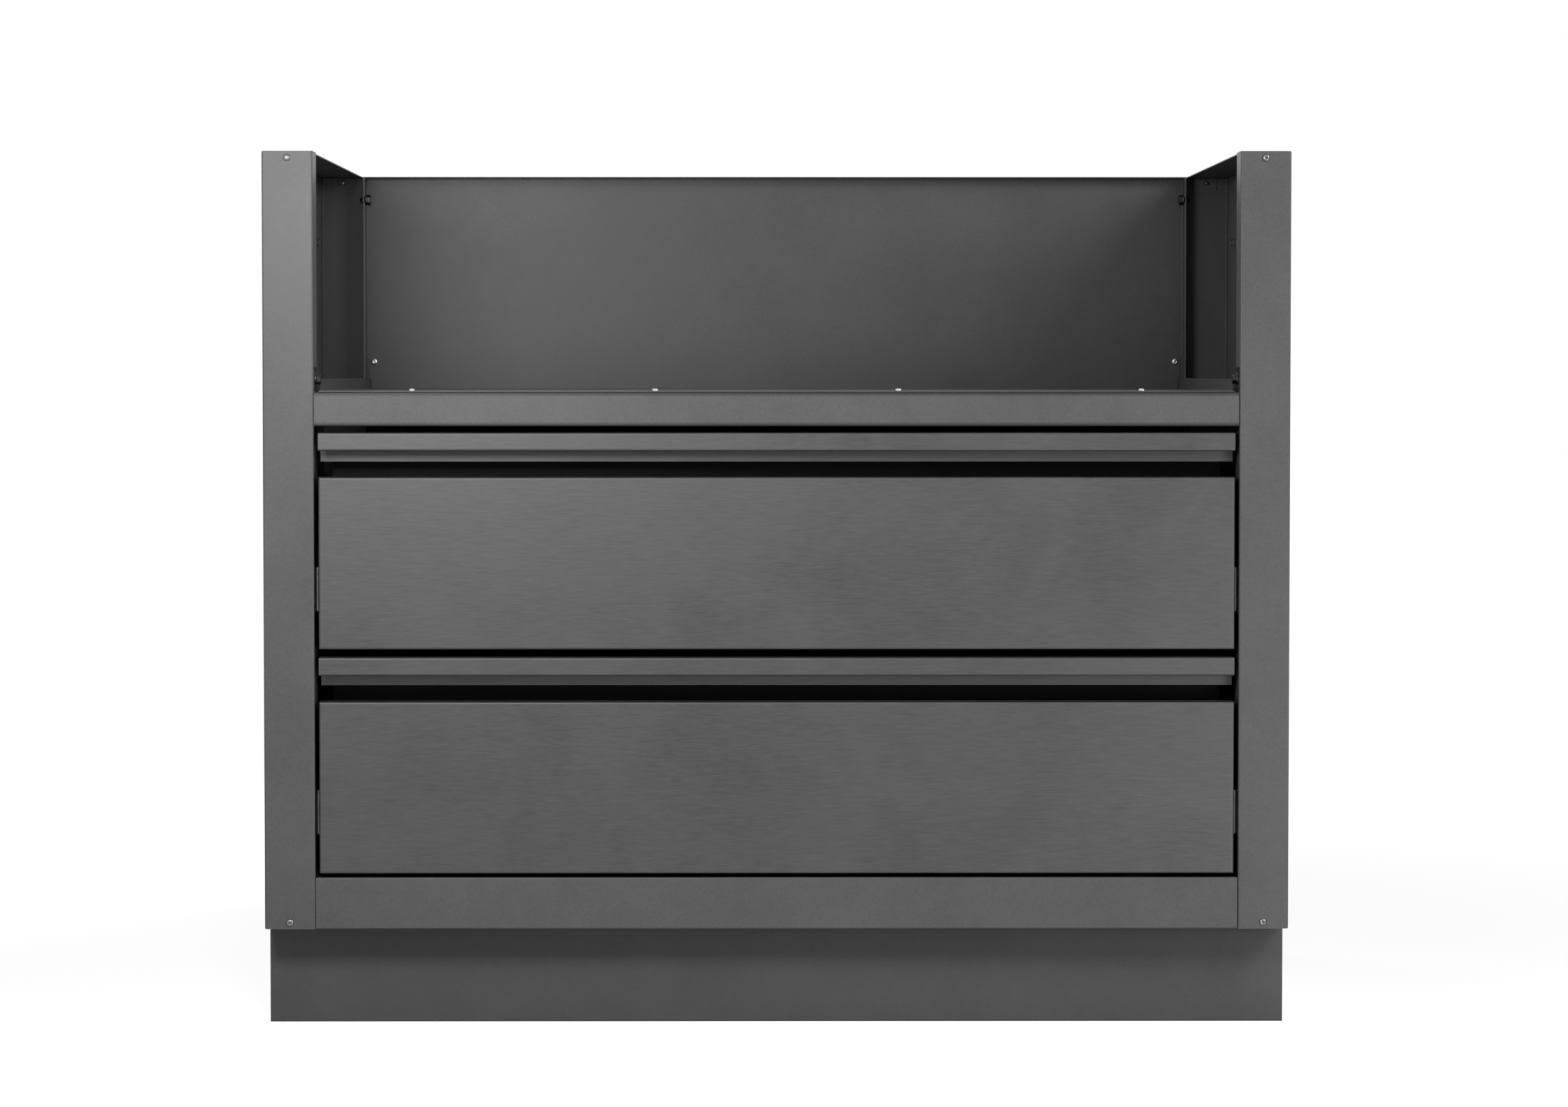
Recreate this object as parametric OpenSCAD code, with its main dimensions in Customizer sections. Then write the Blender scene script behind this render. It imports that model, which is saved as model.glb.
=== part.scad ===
// Base cabinet for a built-in grill, with an open recess on top and two full-width drawers below.
// X runs to the right, Y to the back and Z up, in millimetres.
// The origin is the centre of the footprint, on the ground.

/* [Cabinet] */
// Overall width over the side panels
cabinet_w = 1042; // [900:1:1300]
// Depth from the stile faces to the back
cabinet_d = 622; // [600:1:760]
// Height of the top edge above the ground
cabinet_h = 892; // [860:1:960]
// Thickness of the painted sheet
sheet = 1; // [0.9:0.1:1.5]
// Inside radius of the bends in the painted sheet
bend = 0.8; // [0.5:0.1:1.2]

/* [Side panels] */
// Width of the stile at the front of each side
stile_w = 51.5; // [45:0.5:70]
// Depth of the return behind each stile
stile_return = 37; // [28:1:44]
// Width of the flange at the rear of each side
rear_flange = 50.5; // [46:0.5:60]
// Width of the flanges at the top and the bottom of each side
edge_flange = 48.5; // [42:0.5:60]
// Depth of the return on the rear flange
rear_return = 24; // [20:1:34]
// Height of the tabs that close the corners of each side
tab_h = 14; // [12:1:20]
// Width of the tabs that close the corners of each side
tab_w = 26; // [18:1:34]
// Distance of each corner screw from the end of its stile
corner_screw_in = 6.8; // [6:0.1:9]
// Height of the link nuts in the side walls, below the top edge
link_nut_drop = 77; // [50:1:180]
// Distance of the link nuts from the back
link_nut_in = 86; // [60:1:200]

/* [Grill recess] */
// Depth of the recess from the top edge to the front rail
recess_h = 243.5; // [180:0.5:300]
// Height of the front rail under the recess
front_rail_h = 35; // [25:1:60]
// Depth of the front rail's top and bottom flanges
rail_flange = 26; // [20:1:40]
// Height of the bolt tabs above the front rail
rail_tab_rise = 25; // [22:0.5:40]
// Height of the front bolts above the front rail
rail_bolt_rise = 13.5; // [10:0.5:16]
// Distance of the front bolts from the stile faces
stile_bolt_in = 14.5; // [12:0.5:18]
// Distance of the tray's front edge from the stile faces
tray_front_in = 4; // [3:0.5:10]
// Gap from the tray's side flanges to the opening's edge
tray_side_gap = 3.2; // [3:0.1:6]
// Gap from the ends of the tray's rear flange to the opening's edge
tray_rear_gap = 2.4; // [1.5:0.1:6]
// Height of the tray's side flanges above the front rail
tray_side_h = 13.3; // [10:0.1:30]
// Height of the tray's rear flange above the front rail
tray_rear_h = 38; // [25:1:60]
// Distance of the tray's rear screws from the flange's top and ends
tray_screw_in = 6; // [5:0.5:12]
// Spacing of the screws along the front rail
rail_screw_pitch = 247.5; // [150:0.5:260]
// Distance of these screws from the stile faces
rail_screw_in = 15; // [12:0.5:18]
// Height of the upper rear bolts below the top edge
rear_bolt_drop = 26; // [20:1:60]
// Height of the lower rear bolts above the plinth
rear_bolt_rise = 160; // [60:1:240]

/* [Bottom] */
// Height of the rail at the foot of the cabinet
bottom_rail_h = 52.5; // [40:0.5:90]
// Depth of the return along the bottom rail's top edge
bottom_return = 20; // [12:1:30]
// Height of the flange at the rear of the bottom panel
bottom_rear_h = 28; // [20:1:50]
// Spacing of the screws along that flange
bottom_screw_pitch = 240; // [150:1:280]
// Height of the flange's edge above these screws
bottom_screw_drop = 10; // [6:1:14]
// Height of the plinth
plinth_h = 102; // [70:1:140]
// Recess of the plinth behind the stile faces
toe_recess = 50; // [30:1:100]
// Inset of the plinth's rear plate from the back
plinth_rear_in = 10; // [0:1:60]
// Width of the flanges of the front and rear plinth plates
plinth_flange = 30; // [24:1:45]
// Width of the top flanges of the plinth sides
plinth_side_flange = 80; // [75:1:110]
// Spacing of the plinth screws across the front and the rear
plinth_screw_pitch = 625; // [300:1:800]
// Spacing of the plinth screws along each side
plinth_side_pitch = 260; // [120:1:320]

/* [Drawer fronts] */
// Gap over the upper drawer front
gap_above = 6.2; // [3:0.1:10]
// Gap between the drawer fronts
gap_between = 8; // [3:0.1:14]
// Gap under the lower drawer front
gap_below = 4; // [3:0.1:10]
// Gap at each side of a drawer front
gap_side = 4.3; // [3:0.1:10]
// Thickness of the stainless sheet
skin = 1.2; // [1:0.1:1.6]
// Inside radius of the bends in the stainless sheet
skin_bend = 1; // [0.5:0.1:1.6]
// Depth of the drawer panel over its returns
panel_d = 21.5; // [18:0.5:26]
// Width of the lips inside the drawer panel
panel_lip = 30; // [26:1:40]
// Height of the handle's front lip
lip_h = 18.8; // [14:0.1:26]
// Depth of the handle from its lip to the back of its leg
handle_d = 27.4; // [26:0.1:34]
// Height of the handle's rear leg
handle_leg = 30; // [26:0.5:34]
// Depth of the return under the handle's lip
lip_return = 5; // [4:0.5:8]
// Height of the finger gap between the handle lip and the panel
finger_gap = 26.4; // [22:0.1:40]
// Depth of the finger scoop behind the front
scoop_d = 58; // [45:1:75]
// Height of the panel's top edge above the scoop's floor
scoop_drop = 24; // [18:1:30]
// Height of the lower screws at the sides of a front, above its foot
side_screw_rise = 45; // [30:1:60]
// Height of the panel's top edge above the upper screws at its sides
side_screw_drop = 57; // [50:1:70]
// Height of the screws along the foot of a front, above its foot
foot_screw_rise = 22; // [20:0.5:26]
// Spacing of the screws along the foot of a front
foot_screw_pitch = 300; // [150:1:400]
// Height of a front's top edge above the handle's screws
handle_screw_drop = 17; // [15:0.5:20]
// Spacing of the handle's screws
handle_screw_pitch = 200; // [120:1:215]

/* [Drawer boxes] */
// Length of a drawer box from its front wall to its back
box_l = 517; // [510:1:530]
// Height of the box sides
box_h = 150; // [110:1:150]
// Height of the box above the foot of its front
box_rise = 12; // [10:1:20]
// Width of the flanges under the box floor
box_flange = 15; // [12:1:25]
// Width of the flanges along the top of the box
box_hem = 8; // [6:1:12]
// Depth of the returns at the ends and the top of the box's back
back_return = 14; // [10:1:20]

/* [Drawer slides] */
// Length and full travel of each slide
slide_l = 500; // [450:10:500]
// Thickness of a slide, from the mounting rail to the drawer box
slide_t = 12.7; // [12.5:0.1:13.5]
// Height of the cabinet member
slide_h = 45.4; // [45:0.1:48]
// Thickness of the slide steel
slide_sheet = 1.2; // [1:0.1:1.3]
// Height of the slide's centre line above the foot of its front
slide_rise = 60; // [55:1:80]
// Distance of the slide's front end from the stile faces
slide_front_in = 30; // [28:1:34]
// Distance of the slide's outer screws from its ends
slide_screw_in = 40; // [30:1:60]
// Distance of the drawer member's screws from the slide's ends
member_screw_in = 75; // [65:1:120]
// Diameter of the balls between cabinet member and middle member
outer_ball_d = 3.5; // [3.2:0.1:3.6]
// Diameter of the balls between middle member and drawer member
inner_ball_d = 3; // [2.8:0.1:3.2]
// Spacing of the balls in their cages
ball_pitch = 30; // [20:5:30]
// Number of balls in each row
ball_count = 8; // [4:1:8]
// Height of the crown of the rail that carries a slide
mount_crown = 55; // [52:1:70]
// Width of the feet of the rail that carries a slide
mount_foot = 18; // [12:1:24]

/* [Fasteners] */
// Shank radius of the small screws
screw_r = 1.8; // [1.5:0.1:2.2]
// Head radius of the small screws
screw_head_r = 3.7; // [3.4:0.1:4]
// Head height of the small screws
screw_head_h = 2.2; // [1.8:0.1:2.6]
// Shank radius of the frame bolts
bolt_r = 3; // [2.5:0.1:3.2]
// Width across the flats of the bolt heads
bolt_flats = 10; // [9:0.5:11]
// Height of the bolt heads
bolt_head_h = 4; // [3:0.1:4.4]
// Length of the bolts under their heads
bolt_l = 8; // [7:0.5:12]
// Radius of the washers under the bolt heads
washer_r = 6; // [5.8:0.1:6.4]
// Thickness of the washers
washer_t = 1.6; // [1:0.1:1.8]
// Radius of the tapped collars that take the bolts
collar_r = 4.2; // [4:0.1:5]
// Height of the tapped collars
collar_h = 2.2; // [1.5:0.1:3]
// Radius of the link nuts
link_nut_r = 4.7; // [4.4:0.1:6]
// Height of the link nuts inside the wall
link_nut_h = 4.6; // [4:0.1:6]

/* [Clearances] */
// Radial clearance of a screw or bolt in its hole
hole_clear = 0.2; // [0.1:0.05:0.4]
// Gap between pieces that slide past each other
run_clear = 0.4; // [0.3:0.05:0.45]
// Gap between fitted sheets that don't touch
fit_gap = 0.3; // [0.2:0.05:0.5]
// Width of the seam between a rail and a stile
seam = 0.8; // [0.4:0.1:1.5]

/* [Hidden] */
$fn = 48;

PAINT = [0.30, 0.31, 0.32];
BOX_PAINT = [0.10, 0.10, 0.11];
STAINLESS = [0.70, 0.71, 0.72];
ZINC = [0.80, 0.81, 0.82];
BLACK_STEEL = [0.16, 0.16, 0.17];

// Faces and heights of the cabinet
half_w = cabinet_w / 2;
front_y = -cabinet_d / 2;
rear_y = cabinet_d / 2;
opening_half = half_w - stile_w;
rear_half = half_w - rear_flange;
rail_top_z = cabinet_h - recess_h;
opening_top_z = rail_top_z - front_rail_h;
opening_low_z = plinth_h + bottom_rail_h;
sheet_turn = sheet + bend;
back_face_y = rear_y - sheet;
through = 10;

// Drawer fronts, counted from 0 for the lower one
LOWER = 0;
UPPER = 1;
front_h = (opening_top_z - opening_low_z - gap_above - gap_between - gap_below) / 2;
front_half = opening_half - gap_side;
panel_h = front_h - lip_h - finger_gap;
skin_turn = skin + skin_bend;

// Rows of frame bolts through the stile returns and the rear returns
stile_bolt_y = front_y + stile_bolt_in;
rear_bolt_y = rear_y - rear_return / 2;
rail_bolt_z = rail_top_z + rail_bolt_rise;
bottom_bolt_z = plinth_h + bottom_rail_h / 2;
stile_bolts_z = [rail_bolt_z, bottom_bolt_z];
rear_bolts_z = [cabinet_h - rear_bolt_drop, plinth_h + rear_bolt_rise];

// Small screws and link nuts of the side panels
stile_centre = half_w - stile_w / 2;
flange_centre = half_w - rear_flange / 2;
corner_screws_z = [cabinet_h - corner_screw_in, plinth_h + corner_screw_in];
link_nut_y = rear_y - link_nut_in;
link_nut_z = cabinet_h - link_nut_drop;
link_neck_r = 3.6;
link_bore_r = 2.5;
tab_gap = 0.2;

// Screw heads: height of the rim and radii of the top and the socket, as parts of the head's height and radius
head_rim = 0.4;
head_top = 0.62;
head_socket = 0.36;
small_screw_l = 8;
short_screw_l = 5;
slide_screw_l = 6;
plinth_screw_l = 8;

// Tray in the recess
tray_half = opening_half - tray_side_gap;
tray_flange_half = opening_half - tray_rear_gap;
tray_notch = 30;
tray_corner = 4;
tray_lap = 1;
rail_screw_y = front_y + rail_screw_in;
rail_screws_x = row(4, rail_screw_pitch);
tray_screw_z = rail_top_z + tray_rear_h - tray_screw_in;
tray_screw_x = tray_flange_half - tray_screw_in;
rail_corner = 3;

// Screws between the bottom panel and the back
bottom_screws_x = row(4, bottom_screw_pitch);
bottom_screw_z = plinth_h + bottom_rear_h - bottom_screw_drop;

// Drawer box
box_half = opening_half - slide_t;
box_inner_half = box_half - sheet;
inner_front_y = front_y + panel_d;
box_front_y = inner_front_y + sheet;
box_back_y = box_front_y + box_l;
floor_z = box_rise + sheet;
inner_half = box_inner_half - fit_gap;
scoop_top_v = front_h - handle_leg;
scoop_floor_v = panel_h - scoop_drop;
hem_gap = 2;
box_hem_start_y = front_y + scoop_d + hem_gap;
front_tab_w = 16;
front_tab_gap = 1;
front_tab_top = scoop_floor_v - sheet - front_tab_gap;
leg_drop = 6;
leg_top_v = front_h - leg_drop;
panel_side_screws_v = [side_screw_rise, panel_h - side_screw_drop];
panel_foot_screws_x = row(3, foot_screw_pitch);
handle_screws_x = row(5, handle_screw_pitch);

// Slide section, measured inward from the mounting rail
slide_front_y = front_y + slide_front_in;
slide_bend = 0.6;
slide_turn = slide_sheet + slide_bend;
hook = 2.6;
lip_clear = 1.5;
outer_lip_end = slide_t - lip_clear;
head_room = 2;
middle_web = slide_sheet + head_room;
lip_step = 0.8;
lip_drop = 1;
middle_lip_end = outer_lip_end - lip_step;
outer_ball_z = slide_h / 2 - slide_sheet - run_clear / 2 - outer_ball_d / 2;
middle_half_h = outer_ball_z - outer_ball_d / 2 - run_clear / 2;
inner_ball_z = middle_half_h - slide_sheet - run_clear / 2 - inner_ball_d / 2;
drawer_half_h = inner_ball_z - inner_ball_d / 2 - run_clear / 2;
cage_t = 0.8;
inner_cage_s = middle_web + slide_sheet + run_clear;
drawer_lip_start = inner_cage_s + cage_t + run_clear;
outer_ball_s = (middle_web + middle_lip_end) / 2;
inner_ball_shift = 0.3;
inner_ball_s = (drawer_lip_start + outer_lip_end) / 2 - inner_ball_shift;
ball_clear = 0.05;
stop_gap = 1;
member_l = slide_l - stop_gap;
cage_end = 8;
cage_l = (ball_count - 1) * ball_pitch + 2 * cage_end;
cage_y = slide_front_y + slide_l / 2 - cage_l / 2;
balls_y = row(ball_count, ball_pitch);
slide_screw_r = 1.9;
slide_head_r = 3.4;
slide_head_h = 1.5;
access_r = 5;
slide_screws_y = [for (y = [slide_screw_in, slide_l / 2, slide_l - slide_screw_in]) slide_front_y + y];
drawer_member_screws_y = [for (y = [member_screw_in, slide_l - member_screw_in]) slide_front_y + y];

// Rails that carry the slides
mount_depth = half_w - sheet - opening_half;
mount_end_gap = 1;
mount_front_y = front_y + stile_return + mount_end_gap;
mount_back_y = rear_y - rear_return - mount_end_gap;

// Plinth
plinth_front_y = front_y + toe_recess;
plinth_rear_y = rear_y - plinth_rear_in;
plinth_head_r = 4.6;
plinth_head_h = 2.8;
plinth_ends_y = [plinth_front_y + plinth_flange / 2, plinth_rear_y - plinth_flange / 2];
plinth_screws_xy = concat(
    [for (x = row(2, plinth_screw_pitch), y = plinth_ends_y) [x, y]],
    [for (x = [-flange_centre, flange_centre], y = row(2, plinth_side_pitch)) [x, y]]);

// Evenly spaced places about the centre
function row(count, pitch) = [for (i = [0 : count - 1]) (i - (count - 1) / 2) * pitch];

// Height of the foot of a drawer front
function front_z(level) = opening_low_z + gap_below + level * (front_h + gap_between);

// Quarter of a bent sheet's ring, from the start angle on
module quarter_ring(t, r, start) {
    rotate(start) intersection() {
        difference() {
            circle(r + t);
            circle(r);
        }
        square(r + t);
    }
}

// Section of a folded sheet: each leg is its flat length and the side it turns to, 1 for left and -1 for right.
// The sheet lies on the left of the path, so that the path follows one of its faces.
module folded(legs, t, r, i = 0) {
    flat = legs[i][0];
    turn = legs[i][1];
    square([flat, t]);
    if (turn > 0) {
        translate([flat, t + r]) quarter_ring(t, r, -90);
        translate([flat + r + t, t + r]) rotate(90) folded(legs, t, r, i + 1);
    }
    if (turn < 0) {
        translate([flat, -r]) quarter_ring(t, r, 0);
        translate([flat + r, -r]) rotate(-90) folded(legs, t, r, i + 1);
    }
}

// Extrudes a section drawn in Y and Z along X
module along_x(x0, x1) {
    translate([x0, 0, 0]) rotate([90, 0, 90]) linear_extrude(x1 - x0) children();
}

// Extrudes a section drawn in X and Z along Y
module along_y(y0, y1) {
    translate([0, y1, 0]) rotate([90, 0, 0]) linear_extrude(y1 - y0) children();
}

// Extrudes a plan drawn in X and Y along Z
module along_z(z0, z1) {
    translate([0, 0, z0]) linear_extrude(z1 - z0) children();
}

// Draws a section as measured inward from a plane on the right
module inward_from(x) {
    translate([x, 0]) mirror([1, 0]) children();
}

// Box between two corners
module block(low, high) {
    translate(low) cube(high - low);
}

// Moves a right-hand piece to the left
module left_hand() {
    mirror([1, 0, 0]) children();
}

// Bore of a given radius along X, Y or Z, centred on a point
module bore_x(at, r, length) {
    translate(at) rotate([0, 90, 0]) cylinder(h = length, r = r, center = true);
}

module bore_y(at, r, length) {
    translate(at) rotate([90, 0, 0]) cylinder(h = length, r = r, center = true);
}

module bore_z(at, r, length) {
    translate(at) cylinder(h = length, r = r, center = true);
}

// Screw with a low domed head on the plane below it and a hexagon socket
module dome_screw(head_r, head_h, shank_r, shank_l) {
    difference() {
        union() {
            translate([0, 0, -shank_l]) cylinder(h = shank_l, r = shank_r);
            cylinder(h = head_h * head_rim, r = head_r);
            translate([0, 0, head_h * head_rim])
                cylinder(h = head_h * (1 - head_rim), r1 = head_r, r2 = head_r * head_top);
        }
        translate([0, 0, head_h * head_rim]) cylinder(h = head_h, r = head_r * head_socket, $fn = 6);
    }
}

// Hexagon bolt with its head on the plane below it
module hex_bolt() {
    cylinder(h = bolt_head_h, d = bolt_flats / cos(30), $fn = 6);
    translate([0, 0, -bolt_l]) cylinder(h = bolt_l, r = bolt_r);
}

// Washer standing on its plane
module washer() {
    difference() {
        cylinder(h = washer_t, r = washer_r);
        bore_z([0, 0, 0], bolt_r + hole_clear, through);
    }
}

// Right side panel: a sheet folded into stile, wall, rear flange and returns, with top and bottom flanges
module side_panel() {
    color(PAINT) difference() {
        intersection() {
            union() {
                along_z(plinth_h, cabinet_h)
                    translate([opening_half, front_y + stile_return]) rotate(-90)
                        folded([
                            [stile_return - sheet_turn, 1], [stile_w - 2 * sheet_turn, 1],
                            [cabinet_d - 2 * sheet_turn, 1], [rear_flange - 2 * sheet_turn, 1],
                            [rear_return - sheet_turn, 0],
                        ], sheet, bend);
                side_flange_plate(cabinet_h - sheet);
                side_flange_plate(plinth_h);
                corner_tabs(cabinet_h - sheet - tab_h);
                corner_tabs(plinth_h + sheet);
                tapped_collars();
            }
            along_y(front_y, rear_y) side_outline();
        }
        side_holes();
    }
}

// Outline of a side seen from the front, with its folded outer edges rounded
module side_outline() {
    flat_w = half_w - sheet_turn;
    translate([0, plinth_h]) square([flat_w, cabinet_h - plinth_h]);
    translate([flat_w, plinth_h + sheet_turn]) square([sheet_turn, cabinet_h - plinth_h - 2 * sheet_turn]);
    translate([flat_w, plinth_h + sheet_turn]) circle(sheet_turn);
    translate([flat_w, cabinet_h - sheet_turn]) circle(sheet_turn);
}

module side_flange_plate(z) {
    block([half_w - edge_flange, front_y + sheet, z], [half_w - sheet, back_face_y, z + sheet]);
}

module corner_tabs(z) {
    for (y = [front_y + sheet + tab_gap, back_face_y - tab_gap - sheet])
        block([stile_centre - tab_w / 2, y, z], [stile_centre + tab_w / 2, y + sheet, z + tab_h]);
}

// Collars drawn out of the returns and tapped for the frame bolts
module tapped_collars() {
    for (z = stile_bolts_z)
        translate([opening_half + sheet, stile_bolt_y, z]) rotate([0, 90, 0])
            cylinder(h = collar_h, r = collar_r);
    for (z = rear_bolts_z)
        translate([rear_half + sheet, rear_bolt_y, z]) rotate([0, 90, 0])
            cylinder(h = collar_h, r = collar_r);
}

module side_holes() {
    for (z = corner_screws_z) {
        bore_y([stile_centre, front_y, z], screw_r + hole_clear, through);
        bore_y([flange_centre, rear_y, z], screw_r + hole_clear, through);
    }
    for (z = stile_bolts_z)
        bore_x([opening_half, stile_bolt_y, z], bolt_r + hole_clear, through);
    for (z = rear_bolts_z)
        bore_x([rear_half, rear_bolt_y, z], bolt_r + hole_clear, through);
    bore_x([half_w, link_nut_y, link_nut_z], link_neck_r + hole_clear, through);
    for (p = plinth_screws_xy)
        bore_z([p[0], p[1], plinth_h], screw_r + hole_clear, through);
}

module left_side_panel() {
    left_hand() side_panel();
}

module right_side_panel() {
    side_panel();
}

// Back panel: a wide sheet with forward returns at both ends and along the top
module back_panel() {
    color(PAINT) difference() {
        intersection() {
            union() {
                along_z(plinth_h + sheet + fit_gap, cabinet_h)
                    translate([rear_half, rear_y - rear_return]) rotate(90)
                        folded([
                            [rear_return - sheet_turn, 1], [2 * (rear_half - sheet_turn), 1],
                            [rear_return - sheet_turn, 0],
                        ], sheet, bend);
                block([-rear_half + sheet, rear_y - rear_return, cabinet_h - sheet],
                      [rear_half - sheet, back_face_y, cabinet_h]);
            }
            along_x(-half_w, half_w) back_outline();
        }
        for (x = [-rear_half, rear_half], z = rear_bolts_z)
            hanging_slot(x, z);
        rear_screw_bores();
    }
}

// Slot open to the front, by which the back panel hangs on its loose rear bolts while it is fitted
module hanging_slot(x, z) {
    r = bolt_r + hole_clear;
    bore_x([x, rear_bolt_y, z], r, through);
    block([x - through / 2, rear_y - rear_return - fit_gap, z - r], [x + through / 2, rear_bolt_y, z + r]);
}

// Bores for the screws through the rear flanges of the tray and the bottom panel
module rear_screw_bores() {
    for (x = [-tray_screw_x, tray_screw_x])
        bore_y([x, back_face_y, tray_screw_z], screw_r + hole_clear, through);
    for (x = bottom_screws_x)
        bore_y([x, back_face_y, bottom_screw_z], screw_r + hole_clear, through);
}

// Outline of the back panel seen from the side, with its folded top edge rounded
module back_outline() {
    top = cabinet_h - sheet_turn;
    translate([front_y, plinth_h]) square([cabinet_d, top - plinth_h]);
    translate([front_y, top]) square([cabinet_d - sheet_turn, sheet_turn]);
    translate([rear_y - sheet_turn, top]) circle(sheet_turn);
}

// Tray under the grill, with low side flanges and a taller rear flange
module grill_tray() {
    flat = tray_half - sheet_turn;
    side_front_y = front_y + tray_notch;
    side_back_y = back_face_y - sheet - tray_corner;
    color(PAINT) difference() {
        union() {
            along_x(-flat, flat)
                translate([front_y + tray_front_in, rail_top_z])
                    folded([
                        [back_face_y - front_y - tray_front_in - sheet_turn, 1],
                        [tray_rear_h - sheet_turn, 0],
                    ], sheet, bend);
            along_x(-tray_flange_half, tray_flange_half)
                translate([back_face_y - sheet, rail_top_z + tray_side_h])
                    square([sheet, tray_rear_h - tray_side_h]);
            along_y(side_front_y, side_back_y) {
                tray_side_section(flat);
                mirror([1, 0]) tray_side_section(flat);
            }
        }
        rear_screw_bores();
        rail_screw_bores();
    }
}

module tray_side_section(flat) {
    translate([flat - tray_lap, rail_top_z])
        folded([[tray_lap, 1], [tray_side_h - sheet_turn, 0]], sheet, bend);
}

module rail_screw_bores() {
    for (x = rail_screws_x)
        bore_z([x, rail_screw_y, rail_top_z], screw_r + hole_clear, through);
}

// Front rail: a folded channel under the recess, with bolt tabs that stand up at both ends
module front_rail() {
    color(PAINT) difference() {
        union() {
            along_x(-opening_half + seam, opening_half - seam)
                translate([front_y + rail_flange, rail_top_z]) rotate(180)
                    folded([
                        [rail_flange - sheet_turn, 1], [front_rail_h - 2 * sheet_turn, 1],
                        [rail_flange - sheet_turn, 0],
                    ], sheet, bend);
            end_tab(opening_top_z, rail_top_z + rail_tab_rise);
            left_hand() end_tab(opening_top_z, rail_top_z + rail_tab_rise);
        }
        stile_bolt_bores(rail_bolt_z);
        rail_screw_bores();
    }
}

// Tab at the right-hand end of a rail, against the stile's return, with one rounded corner
module end_tab(z0, z1) {
    y0 = front_y + sheet_turn;
    y1 = front_y + rail_flange;
    along_x(opening_half - sheet, opening_half) {
        translate([y0, z0]) square([y1 - y0, z1 - z0 - rail_corner]);
        translate([y0 + rail_corner, z0]) square([y1 - y0 - rail_corner, z1 - z0]);
        translate([y0 + rail_corner, z1 - rail_corner]) circle(rail_corner);
    }
}

module stile_bolt_bores(z) {
    for (x = [-opening_half, opening_half])
        bore_x([x, stile_bolt_y, z], bolt_r + hole_clear, through);
}

// Bottom panel: floor, bottom rail with its top return, and a rear flange, folded from one sheet
module bottom_panel() {
    color(PAINT) difference() {
        union() {
            along_x(-opening_half + seam, opening_half - seam)
                translate([front_y + bottom_return, opening_low_z]) rotate(180)
                    folded([
                        [bottom_return - sheet_turn, 1], [bottom_rail_h - 2 * sheet_turn, 1],
                        [back_face_y - front_y - 2 * sheet_turn, 1], [bottom_rear_h - sheet_turn, 0],
                    ], sheet, bend);
            end_tab(plinth_h, opening_low_z - sheet);
            left_hand() end_tab(plinth_h, opening_low_z - sheet);
        }
        stile_bolt_bores(bottom_bolt_z);
        rear_screw_bores();
        for (p = plinth_screws_xy)
            bore_z([p[0], p[1], plinth_h], screw_r + hole_clear, through);
    }
}

// Plinth plate across the cabinet: a channel with its flanges behind the plate
module plinth_plate() {
    along_x(-half_w, half_w)
        translate([plinth_flange, plinth_h]) rotate(180)
            folded([
                [plinth_flange - sheet_turn, 1], [plinth_h - 2 * sheet_turn, 1],
                [plinth_flange - sheet_turn, 0],
            ], sheet, bend);
}

module plinth_bores() {
    for (p = plinth_screws_xy)
        bore_z([p[0], p[1], plinth_h], screw_r + hole_clear / 2, through);
}

module plinth_front() {
    color(PAINT) difference() {
        translate([0, plinth_front_y, 0]) plinth_plate();
        plinth_bores();
    }
}

module plinth_rear() {
    color(PAINT) difference() {
        translate([0, plinth_rear_y, 0]) mirror([0, 1, 0]) plinth_plate();
        plinth_bores();
    }
}

// Right side of the plinth: a channel between the front and rear plates, with ends that reach into them
module plinth_side() {
    y0 = plinth_front_y + plinth_flange + fit_gap;
    y1 = plinth_rear_y - plinth_flange - fit_gap;
    color(PAINT) difference() {
        union() {
            along_y(y0, y1)
                translate([half_w - plinth_flange, 0])
                    folded([
                        [plinth_flange - sheet_turn, 1], [plinth_h - 2 * sheet_turn, 1],
                        [plinth_side_flange - sheet_turn, 0],
                    ], sheet, bend);
            block([half_w - sheet, plinth_front_y + sheet, sheet_turn],
                  [half_w, plinth_rear_y - sheet, plinth_h - sheet_turn]);
            for (y = [plinth_front_y + sheet, plinth_rear_y - 2 * sheet])
                block([half_w - plinth_flange, y, sheet_turn], [half_w, y + sheet, plinth_h - sheet_turn]);
        }
        plinth_bores();
    }
}

module plinth_left() {
    left_hand() plinth_side();
}

module plinth_right() {
    plinth_side();
}

// Right-hand rail that carries a slide: a hat section spot-welded to the side's wall
module slide_mount(level) {
    reach = mount_depth - 2 * sheet_turn;
    foot = mount_foot - sheet_turn;
    crown = mount_crown - 2 * sheet - 2 * bend;
    top = front_z(level) + slide_rise + mount_crown / 2 - sheet + sheet_turn + foot;
    color(PAINT) difference() {
        along_y(mount_front_y, mount_back_y)
            inward_from(half_w - sheet)
                translate([0, top]) rotate(-90)
                    folded([[foot, 1], [reach, -1], [crown, -1], [reach, 1], [foot, 0]], sheet, bend);
        for (y = slide_screws_y)
            bore_x([opening_half, y, front_z(level) + slide_rise], slide_screw_r + hole_clear / 2, through);
    }
}

// Corner screws: one through each end of both stiles and both rear flanges
module corner_screws() {
    color(ZINC) for (x = [-1, 1], z = corner_screws_z) {
        translate([x * stile_centre, front_y, z]) rotate([90, 0, 0]) small_screw();
        translate([x * flange_centre, rear_y, z]) rotate([-90, 0, 0]) small_screw();
    }
}

module small_screw() {
    dome_screw(screw_head_r, screw_head_h, screw_r, small_screw_l);
}

module short_screw() {
    dome_screw(screw_head_r, screw_head_h, screw_r, short_screw_l);
}

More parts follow.
